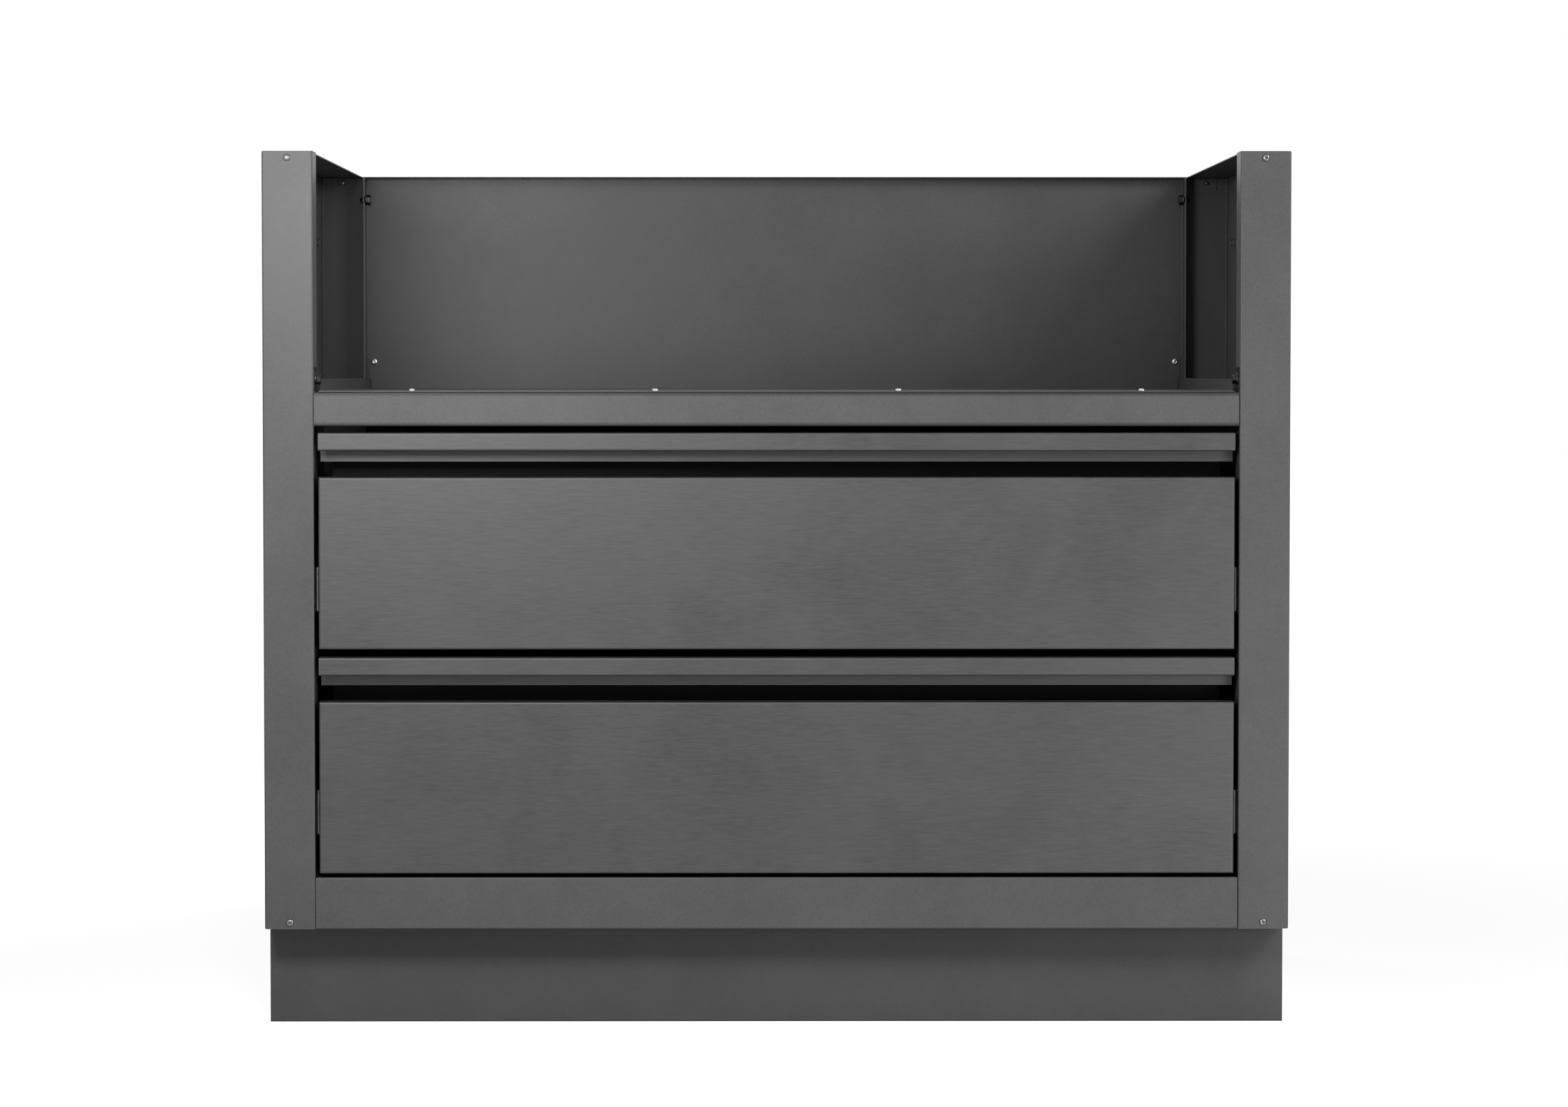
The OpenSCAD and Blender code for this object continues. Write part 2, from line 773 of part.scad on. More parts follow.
// Screws through the tray into the front rail
module rail_screws() {
    color(ZINC) for (x = rail_screws_x)
        translate([x, rail_screw_y, rail_top_z + sheet]) small_screw();
}

// Screws through the rear flanges of the tray and the bottom panel into the back
module tray_screws() {
    color(ZINC) {
        for (x = [-tray_screw_x, tray_screw_x])
            translate([x, back_face_y - sheet, tray_screw_z]) rotate([90, 0, 0]) short_screw();
        for (x = bottom_screws_x)
            translate([x, back_face_y - sheet, bottom_screw_z]) rotate([90, 0, 0]) short_screw();
    }
}

// Threaded inserts riveted into the side walls, for bolting the neighbouring cabinet on
module link_nuts() {
    color(PAINT) for (side = [0, 1]) mirror([side, 0, 0])
        translate([half_w, link_nut_y, link_nut_z]) rotate([0, -90, 0]) difference() {
            union() {
                cylinder(h = sheet + link_nut_h, r = link_neck_r);
                translate([0, 0, sheet]) cylinder(h = link_nut_h, r = link_nut_r);
            }
            bore_z([0, 0, 0], link_bore_r, 2 * through);
        }
}

// Places a right-hand bolt stack at each frame bolt, seated a depth inside the outer face of the joint
module at_frame_bolts(inset) {
    for (side = [0, 1]) mirror([side, 0, 0]) {
        for (z = stile_bolts_z)
            translate([opening_half - sheet - inset, stile_bolt_y, z]) rotate([0, -90, 0]) children();
        for (z = rear_bolts_z)
            translate([rear_half - sheet - inset, rear_bolt_y, z]) rotate([0, -90, 0]) children();
    }
}

module frame_bolts() {
    color(BLACK_STEEL) at_frame_bolts(washer_t) hex_bolt();
}

module frame_washers() {
    color(BLACK_STEEL) at_frame_bolts(0) washer();
}

// Screws that hold the cabinet down on the plinth
module plinth_screws() {
    color(ZINC) for (p = plinth_screws_xy)
        translate([p[0], p[1], plinth_h + sheet])
            dome_screw(plinth_head_r, plinth_head_h, screw_r, plinth_screw_l);
}

// Low-headed screws through the cabinet members into the rails that carry them
module slide_screws() {
    color(ZINC) for (level = [LOWER, UPPER], side = [0, 1], y = slide_screws_y) mirror([side, 0, 0])
        translate([opening_half - slide_sheet, y, front_z(level) + slide_rise]) rotate([0, -90, 0])
            slide_screw();
}

module slide_screw() {
    dome_screw(slide_head_r, slide_head_h, slide_screw_r, slide_screw_l);
}

// Section of a slide member: a channel of a given half height whose web starts at s0 and whose lips end at s1
module channel_section(half_h, s0, s1) {
    translate([s1, half_h]) rotate(180)
        folded([
            [s1 - s0 - slide_turn, 1], [2 * (half_h - slide_turn), 1], [s1 - s0 - slide_turn, 0],
        ], slide_sheet, slide_turn - slide_sheet);
}

// Cabinet member: a channel whose lips end in hooks that hold the outer balls, closed by a stop at the rear
module cabinet_member(level) {
    centre = front_z(level) + slide_rise;
    color(ZINC) difference() {
        union() {
            along_y(slide_front_y, slide_front_y + slide_l)
                inward_from(opening_half) translate([0, centre]) {
                    channel_section(slide_h / 2, 0, outer_lip_end);
                    for (z = [-slide_h / 2, slide_h / 2 - hook])
                        translate([outer_lip_end - slide_sheet, z]) square([slide_sheet, hook]);
                }
            block([opening_half - outer_lip_end, slide_front_y + slide_l, centre - slide_h / 2],
                  [opening_half, slide_front_y + slide_l + slide_sheet, centre + slide_h / 2]);
        }
        for (y = slide_screws_y)
            bore_x([opening_half, y, centre], slide_screw_r + hole_clear, through);
    }
}

// Middle member: a narrower channel that runs in the cabinet member, with holes to reach the screws behind it
module middle_member(level) {
    centre = front_z(level) + slide_rise;
    color(ZINC) difference() {
        along_y(slide_front_y, slide_front_y + member_l)
            inward_from(opening_half) translate([0, centre]) {
                channel_section(middle_half_h, middle_web, middle_lip_end);
                for (z = [-middle_half_h - lip_drop, middle_half_h - slide_sheet])
                    translate([middle_lip_end - slide_sheet, z]) square([slide_sheet, slide_sheet + lip_drop]);
            }
        for (y = slide_screws_y)
            bore_x([opening_half - middle_web, y, centre], access_r, through);
    }
}

// Drawer member: a channel turned to face the middle member and screwed to the drawer box
module drawer_member(level) {
    centre = front_z(level) + slide_rise;
    color(ZINC) difference() {
        along_y(slide_front_y, slide_front_y + member_l)
            translate([box_half, centre])
                channel_section(drawer_half_h, 0, slide_t - drawer_lip_start);
        for (y = drawer_member_screws_y)
            bore_x([box_half, y, centre], slide_screw_r + hole_clear, through);
    }
}

// Row of balls at a distance s from the rail and a height z
module ball_row(s, z, d) {
    for (y = balls_y)
        translate([opening_half - s, cage_y + cage_l / 2 + y, z]) sphere(d = d);
}

// Strip of a cage with a round pocket for each ball
module cage_strip(s0, s1, z, s, d) {
    difference() {
        block([opening_half - s1, cage_y, z - cage_t / 2],
              [opening_half - s0, cage_y + cage_l, z + cage_t / 2]);
        for (y = balls_y)
            bore_z([opening_half - s, cage_y + cage_l / 2 + y, z], d / 2 + ball_clear, through);
    }
}

// Outer cages of one drawer: a strip of balls above and below each middle member
module outer_ball_cages(level) {
    centre = front_z(level) + slide_rise;
    color(STAINLESS) for (side = [0, 1], up = [-1, 1]) mirror([side, 0, 0]) {
        z = centre + up * outer_ball_z;
        cage_strip(middle_web, outer_lip_end - slide_sheet - 2 * run_clear, z, outer_ball_s, outer_ball_d);
        ball_row(outer_ball_s, z, outer_ball_d);
    }
}

// Inner cages of one drawer: a channel between each middle member and drawer member, with balls in both flanges
module inner_ball_cages(level) {
    centre = front_z(level) + slide_rise;
    s1 = outer_lip_end - stop_gap;
    color(STAINLESS) for (side = [0, 1]) mirror([side, 0, 0]) {
        block([opening_half - inner_cage_s - cage_t, cage_y, centre - inner_ball_z + cage_t / 2],
              [opening_half - inner_cage_s, cage_y + cage_l, centre + inner_ball_z - cage_t / 2]);
        for (up = [-1, 1]) {
            cage_strip(inner_cage_s, s1, centre + up * inner_ball_z, inner_ball_s, inner_ball_d);
            ball_row(inner_ball_s, centre + up * inner_ball_z, inner_ball_d);
        }
    }
}

// Drawer panel: a stainless pan with returns on four sides and lips inside them
module front_panel(level) {
    color(STAINLESS) difference() {
        translate([0, front_y, front_z(level)]) difference() {
            pan_body(front_half, 0, panel_h, 0, panel_d, skin_turn);
            pan_body(front_half - skin, skin, panel_h - skin, skin, panel_d - skin, skin_bend);
            block([-front_half + panel_lip, skin, panel_lip],
                  [front_half - panel_lip, 2 * panel_d, panel_h - panel_lip]);
        }
        panel_screw_bores(level);
    }
}

// Block whose four front edges are rounded: half width, foot, top, front, back and radius
module pan_body(half, low, high, y0, y1, r) {
    intersection() {
        along_x(-half, half) {
            translate([y0 + r, low]) square([y1 - y0 - r, high - low]);
            translate([y0, low + r]) square([r, high - low - 2 * r]);
            for (z = [low + r, high - r]) translate([y0 + r, z]) circle(r);
        }
        along_z(low, high) {
            translate([-half, y0 + r]) square([2 * half, y1 - y0 - r]);
            translate([-half + r, y0]) square([2 * (half - r), r]);
            for (x = [-half + r, half - r]) translate([x, y0 + r]) circle(r);
        }
    }
}

// Handle: a full-width finger pull, folded into rear leg, top, lip and the return under the lip
module handle(level) {
    color(STAINLESS) difference() {
        along_x(-front_half, front_half)
            translate([front_y + handle_d, front_z(level) + front_h - handle_leg]) rotate(90)
                folded([
                    [handle_leg - skin_turn, 1], [handle_d - 2 * skin_turn, 1],
                    [lip_h - 2 * skin_turn, 1], [lip_return - skin_turn, 0],
                ], skin, skin_bend);
        handle_screw_bores(level);
    }
}

// Inner front of a drawer: carries the handle at its top, forms the finger scoop and backs the panel
module inner_front(level) {
    upper = leg_top_v - scoop_top_v - sheet_turn + sheet;
    scoop_top = scoop_d - handle_d - sheet - 2 * bend - sheet;
    scoop_back = scoop_top_v - scoop_floor_v - sheet - 2 * bend;
    scoop_floor = scoop_d - panel_d - sheet - 2 * bend - sheet;
    leg = scoop_floor_v - box_rise - 2 * sheet_turn;
    legs = [[upper, 1], [scoop_top, -1], [scoop_back, -1], [scoop_floor, 1]];
    color(BOX_PAINT) difference() {
        translate([0, front_y, front_z(level)]) {
            along_x(-inner_half, inner_half)
                translate([handle_d, leg_top_v]) rotate(-90)
                    folded(concat(legs, [[leg, 0]]), sheet, bend);
            along_x(-inner_half + front_tab_w + fit_gap, inner_half - front_tab_w - fit_gap)
                translate([handle_d, leg_top_v]) rotate(-90)
                    folded(concat(legs, [[leg, 1], [box_flange, 0]]), sheet, bend);
        }
        handle_screw_bores(level);
        panel_screw_bores(level);
    }
}

// Right side of a drawer box: a channel with a wide foot, a narrow hem and a tab at the front
module box_side(level) {
    foot = [box_flange - sheet_turn, 1];
    wall = box_h - 2 * sheet_turn;
    color(BOX_PAINT) difference() {
        translate([0, 0, front_z(level)]) {
            along_y(box_front_y, box_back_y)
                translate([box_half - box_flange, box_rise]) folded([foot, [wall, 0]], sheet, bend);
            along_y(box_hem_start_y, box_back_y)
                translate([box_half - box_flange, box_rise])
                    folded([foot, [wall, 1], [box_hem - sheet_turn, 0]], sheet, bend);
            block([box_half - front_tab_w, box_front_y, floor_z],
                  [box_inner_half, box_front_y + sheet, front_tab_top]);
        }
        panel_screw_bores(level);
        for (y = drawer_member_screws_y)
            bore_x([box_half, y, front_z(level) + slide_rise], slide_screw_r + hole_clear / 2, through);
    }
}

// Floor of a drawer box, on the feet of its sides and of its inner front
module box_floor(level) {
    z = front_z(level) + floor_z;
    half = inner_half - bend;
    color(BOX_PAINT) block([-half, box_front_y + sheet + fit_gap, z], [half, box_back_y, z + sheet]);
}

// Back of a drawer box: a sheet with forward returns at both ends and along its top
module box_back(level) {
    z0 = front_z(level) + floor_z + sheet;
    z1 = front_z(level) + box_rise + box_h - sheet_turn - fit_gap;
    color(BOX_PAINT) {
        along_z(z0, z1)
            translate([box_inner_half, box_back_y - back_return]) rotate(90)
                folded([
                    [back_return - sheet_turn, 1], [2 * (box_inner_half - sheet_turn), 1],
                    [back_return - sheet_turn, 0],
                ], sheet, bend);
        block([-box_inner_half + sheet, box_back_y - back_return, z1 - sheet],
              [box_inner_half - sheet, box_back_y - sheet, z1]);
    }
}

module panel_screw_bores(level) {
    for (p = panel_screws(level))
        bore_y([p[0], inner_front_y, p[1]], screw_r + hole_clear, through);
}

module handle_screw_bores(level) {
    z = front_z(level) + front_h - handle_screw_drop;
    for (x = handle_screws_x)
        bore_y([x, front_y + handle_d, z], screw_r + hole_clear, through);
}

// Places of the screws that hold a panel, as X and Z
function panel_screws(level) = concat(
    [for (x = [-1, 1], v = panel_side_screws_v) [x * (box_half - front_tab_w / 2), front_z(level) + v]],
    [for (x = panel_foot_screws_x) [x, front_z(level) + foot_screw_rise]]);

// All screws of one drawer
module drawer_screws(level) {
    color(ZINC) {
        for (p = panel_screws(level))
            translate([p[0], box_front_y + (abs(p[0]) > inner_half - front_tab_w ? sheet : 0), p[1]])
                rotate([-90, 0, 0]) small_screw();
        for (x = handle_screws_x)
            translate([x, front_y + handle_d + sheet, front_z(level) + front_h - handle_screw_drop])
                rotate([-90, 0, 0]) short_screw();
        for (side = [0, 1], y = drawer_member_screws_y) mirror([side, 0, 0])
            translate([box_half + slide_sheet, y, front_z(level) + slide_rise]) rotate([0, 90, 0])
                dome_screw(slide_head_r, slide_head_h, slide_screw_r, short_screw_l);
    }
}

left_side_panel();
right_side_panel();
back_panel();
grill_tray();
front_rail();
bottom_panel();
plinth_front();
plinth_rear();
plinth_left();
plinth_right();
left_hand() slide_mount(UPPER);  // upper_left_mount
slide_mount(UPPER);  // upper_right_mount
left_hand() slide_mount(LOWER);  // lower_left_mount
slide_mount(LOWER);  // lower_right_mount
corner_screws();
rail_screws();
tray_screws();
link_nuts();
frame_bolts();
frame_washers();
plinth_screws();
slide_screws();
left_hand() cabinet_member(UPPER);  // upper_left_cabinet_member
cabinet_member(UPPER);  // upper_right_cabinet_member
left_hand() cabinet_member(LOWER);  // lower_left_cabinet_member
cabinet_member(LOWER);  // lower_right_cabinet_member
left_hand() middle_member(UPPER);  // upper_left_middle_member
middle_member(UPPER);  // upper_right_middle_member
left_hand() middle_member(LOWER);  // lower_left_middle_member
middle_member(LOWER);  // lower_right_middle_member
left_hand() drawer_member(UPPER);  // upper_left_drawer_member
drawer_member(UPPER);  // upper_right_drawer_member
left_hand() drawer_member(LOWER);  // lower_left_drawer_member
drawer_member(LOWER);  // lower_right_drawer_member
outer_ball_cages(UPPER);  // upper_outer_ball_cages
inner_ball_cages(UPPER);  // upper_inner_ball_cages
outer_ball_cages(LOWER);  // lower_outer_ball_cages
inner_ball_cages(LOWER);  // lower_inner_ball_cages
front_panel(UPPER);  // upper_front_panel
handle(UPPER);  // upper_handle
inner_front(UPPER);  // upper_inner_front
left_hand() box_side(UPPER);  // upper_left_box_side
box_side(UPPER);  // upper_right_box_side
box_floor(UPPER);  // upper_box_floor
box_back(UPPER);  // upper_box_back
drawer_screws(UPPER);  // upper_drawer_screws
front_panel(LOWER);  // lower_front_panel
handle(LOWER);  // lower_handle
inner_front(LOWER);  // lower_inner_front
left_hand() box_side(LOWER);  // lower_left_box_side
box_side(LOWER);  // lower_right_box_side
box_floor(LOWER);  // lower_box_floor
box_back(LOWER);  // lower_box_back
drawer_screws(LOWER);  // lower_drawer_screws
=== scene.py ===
"""Finishes, fasteners and studio for a free-standing outdoor kitchen base cabinet."""

import math

import bmesh
import bpy
from bpy.props import FloatProperty, FloatVectorProperty, IntProperty, PointerProperty
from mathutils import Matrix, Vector


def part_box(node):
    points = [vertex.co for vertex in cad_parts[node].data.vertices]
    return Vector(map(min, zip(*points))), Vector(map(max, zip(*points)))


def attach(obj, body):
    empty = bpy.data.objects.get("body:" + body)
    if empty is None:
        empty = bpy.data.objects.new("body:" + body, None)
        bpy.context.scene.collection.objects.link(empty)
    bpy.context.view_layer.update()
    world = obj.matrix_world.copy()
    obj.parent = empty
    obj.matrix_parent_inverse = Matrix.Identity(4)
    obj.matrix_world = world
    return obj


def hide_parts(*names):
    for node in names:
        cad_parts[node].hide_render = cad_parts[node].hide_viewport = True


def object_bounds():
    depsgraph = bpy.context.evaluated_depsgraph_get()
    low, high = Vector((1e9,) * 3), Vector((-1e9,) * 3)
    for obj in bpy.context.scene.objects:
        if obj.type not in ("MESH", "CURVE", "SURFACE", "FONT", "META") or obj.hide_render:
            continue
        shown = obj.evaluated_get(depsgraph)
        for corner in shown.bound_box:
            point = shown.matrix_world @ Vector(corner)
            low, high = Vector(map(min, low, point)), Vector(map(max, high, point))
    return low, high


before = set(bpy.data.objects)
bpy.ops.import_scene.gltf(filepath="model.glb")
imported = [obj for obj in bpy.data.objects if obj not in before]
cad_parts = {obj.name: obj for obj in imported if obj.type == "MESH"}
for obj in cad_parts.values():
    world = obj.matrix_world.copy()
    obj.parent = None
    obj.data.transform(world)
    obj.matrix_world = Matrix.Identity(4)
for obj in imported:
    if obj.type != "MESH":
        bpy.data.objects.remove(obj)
CAD_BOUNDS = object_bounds()

bl_info = {
    "name": "Outdoor Kitchen Base Cabinet",
    "version": (1, 0, 0),
    "blender": (4, 5, 0),
    "location": "3D View > Sidebar > Cabinet",
    "description": "Paint, brushed steel, fasteners and a pale studio for a grill base cabinet",
    "category": "Object",
}

MM = 0.001
LEVELS = ("upper", "lower")
SIDES = ("left", "right")

# Distances within which points of a CAD node, corners of a turned shape and sizes of fasteners are the same
SAME_POINT = 1e-6
SAME_CORNER = 1e-7
SAME_SIZE = 0.01 * MM

BODY_SHEETS = (
    "left_side_panel", "right_side_panel", "back_panel", "bottom_panel",
    "plinth_front", "plinth_rear", "plinth_left", "plinth_right",
)
BOX_SHEETS = ("inner_front", "left_box_side", "right_box_side", "box_floor", "box_back")

# Reflection colours of the plated and blackened steel. The slides' zinc and the shaded zinc are screw zinc
# darkened as painted shade, for the slides' ends seen in the gaps beside the fronts and for the screws in the
# stiles and the plinth
SLIDE_ZINC = (0.34, 0.34, 0.345)
BRIGHT_ZINC = (0.66, 0.66, 0.67)
SHADED_ZINC = (0.22, 0.22, 0.224)
BLACK_OXIDE = (0.035, 0.035, 0.037)
DULL_BALL = (0.42, 0.42, 0.43)
CLEAR_BALL = (0.58, 0.58, 0.59)

# Agreement of a rounded normal with the flat one, at the middle of an edge and on open sheet
AT_EDGE, ON_SHEET = 0.75, 0.98

# Share of open surroundings from which a coated face keeps its full tone, without the painted corner shade
FULLY_OPEN = 0.75

# Angle over which an edge of a turned shape is sharp, and rows of points in one turn of a thread
SHARP_ANGLE = math.radians(28)
ROWS_PER_TURN = 4

# Camera: to the right of the middle, in front of the stiles, above the ground, turned and tilted down
CAMERA_X = -16.2 * MM
CAMERA_DISTANCE = 4515.7 * MM
CAMERA_HEIGHT = 666.8 * MM
CAMERA_YAW = math.radians(0.298)
CAMERA_PITCH = math.radians(2.311)
SENSOR_WIDTH = 36.0
FARTHEST_VIEW = 100.0

WHITE = (1.0, 1.0, 1.0, 1.0)

# Floor: its paint, half its width, and the distances between which its glow grows to the far glow
FLOOR_GREY = (0.62, 0.62, 0.62, 1.0)
FLOOR_HALF = 30.0
GLOW_NEAR, GLOW_FAR = 0.9, 2.4
FAR_GLOW = 0.97

# Soft lights: name, setting with the power, place, aim, width and height
SOFTBOXES = (
    ("key_softbox", "key_power", (1.5, -1.4, 1.5), (-0.1, 0.2, 0.7), (0.8, 0.8)),
    ("front_softbox", "front_power", (-0.50, -1.30, 0.92), (-0.15, 0.2, 0.72), (0.5, 0.3)),
    ("low_softbox", "low_power", (1.0, -1.35, 0.2), (0.35, -0.31, 0.2), (0.4, 0.4)),
    ("rear_softbox", "rear_power", (-1.4, 1.7, 0.85), (0.0, 0.3, 0.5), (0.8, 0.6)),
)


# Settings

class CabinetPaintSettings(bpy.types.PropertyGroup):
    """Powder coat of the cabinet and of the drawer boxes"""
    colour: FloatVectorProperty(
        name="Cabinet Colour", description="Colour of the dark grey powder coat on the cabinet",
        default=(0.128, 0.128, 0.1285), size=3, min=0.0, max=1.0, subtype="COLOR")
    # The drawer boxes' near black is black coat darkened further as painted shade, so that the finger gaps
    # behind the handles look black
    box_black_and_shade: FloatVectorProperty(
        name="Drawer Box Colour", description="Colour of the near black powder coat on the drawer boxes",
        default=(0.004, 0.004, 0.0043), size=3, min=0.0, max=1.0, subtype="COLOR")
    roughness: FloatProperty(
        name="Roughness", description="Middle roughness of the satin coat", default=0.38, min=0.1, max=1.0,
        subtype="FACTOR")
    gloss: FloatProperty(
        name="Gloss", description="Strength of the reflections on the cabinet's coat", default=0.20, min=0.0,
        max=1.0, subtype="FACTOR")
    box_gloss: FloatProperty(
        name="Drawer Box Gloss", description="Strength of the reflections on the drawer boxes' coat",
        default=0.06, min=0.0, max=1.0, subtype="FACTOR")
    # The lighter coat along the edges is a painted highlight where the bends would catch the light
    edge_reach: FloatProperty(
        name="Edge Reach", description="Width of the worn, lighter coat along the edges", default=0.7 * MM,
        min=0.1 * MM, max=3 * MM, unit="LENGTH")
    # The coat darkened near deep corners is painted shade
    shaded_corner_reach: FloatProperty(
        name="Corner Reach", description="Distance from a deep corner within which the coat gets darker",
        default=160 * MM, min=5 * MM, max=500 * MM, unit="LENGTH")
    # The darker bands along the front rail's folds are painted shade, standing in for rounder bends
    shaded_fold_reach: FloatProperty(
        name="Fold Reach", description="Width of the darker bands along the front rail's folds",
        default=5 * MM, min=0.5 * MM, max=15 * MM, unit="LENGTH")
    cloud_size: FloatProperty(
        name="Cloud Size", description="Size of the faint clouds in the coat's tone", default=110 * MM,
        min=10 * MM, max=500 * MM, unit="LENGTH")
    mottle_size: FloatProperty(
        name="Mottle Size", description="Size of the coat's mottling", default=11 * MM, min=1 * MM,
        max=50 * MM, unit="LENGTH")
    grit_size: FloatProperty(
        name="Grit Size", description="Size of the coat's fine grit", default=1.6 * MM, min=0.3 * MM,
        max=5 * MM, unit="LENGTH")
    peel_size: FloatProperty(
        name="Peel Size", description="Size of the ripples in the coat", default=1.1 * MM, min=0.3 * MM,
        max=5 * MM, unit="LENGTH")
    peel_height: FloatProperty(
        name="Peel Height", description="Height of the ripples in the coat", default=0.012 * MM, min=0.0,
        max=0.1 * MM, unit="LENGTH")
    swell_size: FloatProperty(
        name="Swell Size", description="Size of the sheet's shallow waves", default=50 * MM, min=5 * MM,
        max=500 * MM, unit="LENGTH")
    swell_height: FloatProperty(
        name="Swell Height", description="Height of the sheet's shallow waves", default=0.02 * MM, min=0.0,
        max=0.2 * MM, unit="LENGTH")


class StainlessSettings(bpy.types.PropertyGroup):
    """Brushed stainless steel of the drawer fronts and the handles"""
    colour: FloatVectorProperty(
        name="Steel Colour", description="Reflection colour of the brushed sheet",
        default=(0.088, 0.088, 0.0892), size=3, min=0.0, max=1.0, subtype="COLOR")
    roughness: FloatProperty(
        name="Roughness", description="Middle roughness of the brushed sheet", default=0.52, min=0.05,
        max=1.0, subtype="FACTOR")
    grain_width: FloatProperty(
        name="Grain Width", description="Width of one brush line", default=0.4 * MM, min=0.1 * MM, max=3 * MM,
        unit="LENGTH")
    grain_length: FloatProperty(
        name="Grain Length", description="Length of one brush line", default=12 * MM, min=5 * MM,
        max=500 * MM, unit="LENGTH")
    smear_size: FloatProperty(
        name="Smear Size", description="Size of the faint hand smears", default=130 * MM, min=10 * MM,
        max=500 * MM, unit="LENGTH")
    # The darker line along the folded edges is painted shade
    edge_reach: FloatProperty(
        name="Edge Reach", description="Width of the darker line along the sheet's folded edges",
        default=1.2 * MM, min=0.1 * MM, max=4 * MM, unit="LENGTH")


class FastenerSettings(bpy.types.PropertyGroup):
    """Screws, bolts, washers and rivet nuts"""
    thread_pitch: FloatProperty(
        name="Thread Pitch", description="Pitch of the threads", default=0.8 * MM, min=0.4 * MM, max=2 * MM,
        unit="LENGTH")
    thread_depth: FloatProperty(
        name="Thread Depth", description="Depth of the threads", default=0.35 * MM, min=0.0, max=1 * MM,
        unit="LENGTH")
    turn_seed: IntProperty(
        name="Turn Seed", description="Seed of the angle at which each fastener was left", default=4, min=0)


class StudioSettings(bpy.types.PropertyGroup):
    """Camera and light of the studio"""
    lens: FloatProperty(
        name="Lens", description="Focal length of the camera", default=102.25, min=20.0, max=300.0,
        unit="CAMERA")
    key_power: FloatProperty(
        name="Key Light", description="Power of the soft light above on the right", default=17.0, min=0.0,
        unit="POWER")
    front_power: FloatProperty(
        name="Front Light", description="Power of the soft light over the front rail", default=9.0, min=0.0,
        unit="POWER")
    low_power: FloatProperty(
        name="Low Light", description="Power of the soft light low on the right", default=3.5, min=0.0,
        unit="POWER")
    rear_power: FloatProperty(
        name="Rear Light", description="Power of the soft light low behind the cabinet on the left",
        default=7.0, min=0.0, unit="POWER")
    sky: FloatProperty(
        name="Sky", description="Strength of the even light from all around", default=0.035, min=0.0, max=2.0)
    floor_glow: FloatProperty(
        name="Floor Glow", description="Whiteness that the floor adds where it is seen", default=0.80,
        min=0.0, max=1.0, subtype="FACTOR")


SETTINGS = {
    "cabinet_paint": CabinetPaintSettings,
    "cabinet_stainless": StainlessSettings,
    "cabinet_fasteners": FastenerSettings,
    "cabinet_studio": StudioSettings,
}


# Node trees

class Nodes:
    """A node tree that is built in code"""

    def __init__(self, tree):
        self.tree = tree
        self.tree.nodes.clear()

    def add(self, kind, **values):
        node = self.tree.nodes.new(kind)
        for name, value in values.items():
            setattr(node, name, value)
        return node

    def link(self, source, target):
        self.tree.links.new(source, target)

    def maths(self, operation, first, second):
        node = self.add("ShaderNodeMath", operation=operation)
        self.link(first, node.inputs[0])
        self.link(second, node.inputs[1])
        return node.outputs["Value"]

    def seen_directly(self):
        """1 for a ray from the camera, in a reflection or through glass, and 0 for light on a matt surface"""
        path = self.add("ShaderNodeLightPath")
        value = path.outputs["Is Camera Ray"]
        for ray in ("Is Glossy Ray", "Is Transmission Ray"):
            value = self.maths("MAXIMUM", value, path.outputs[ray])
        return value


# Materials

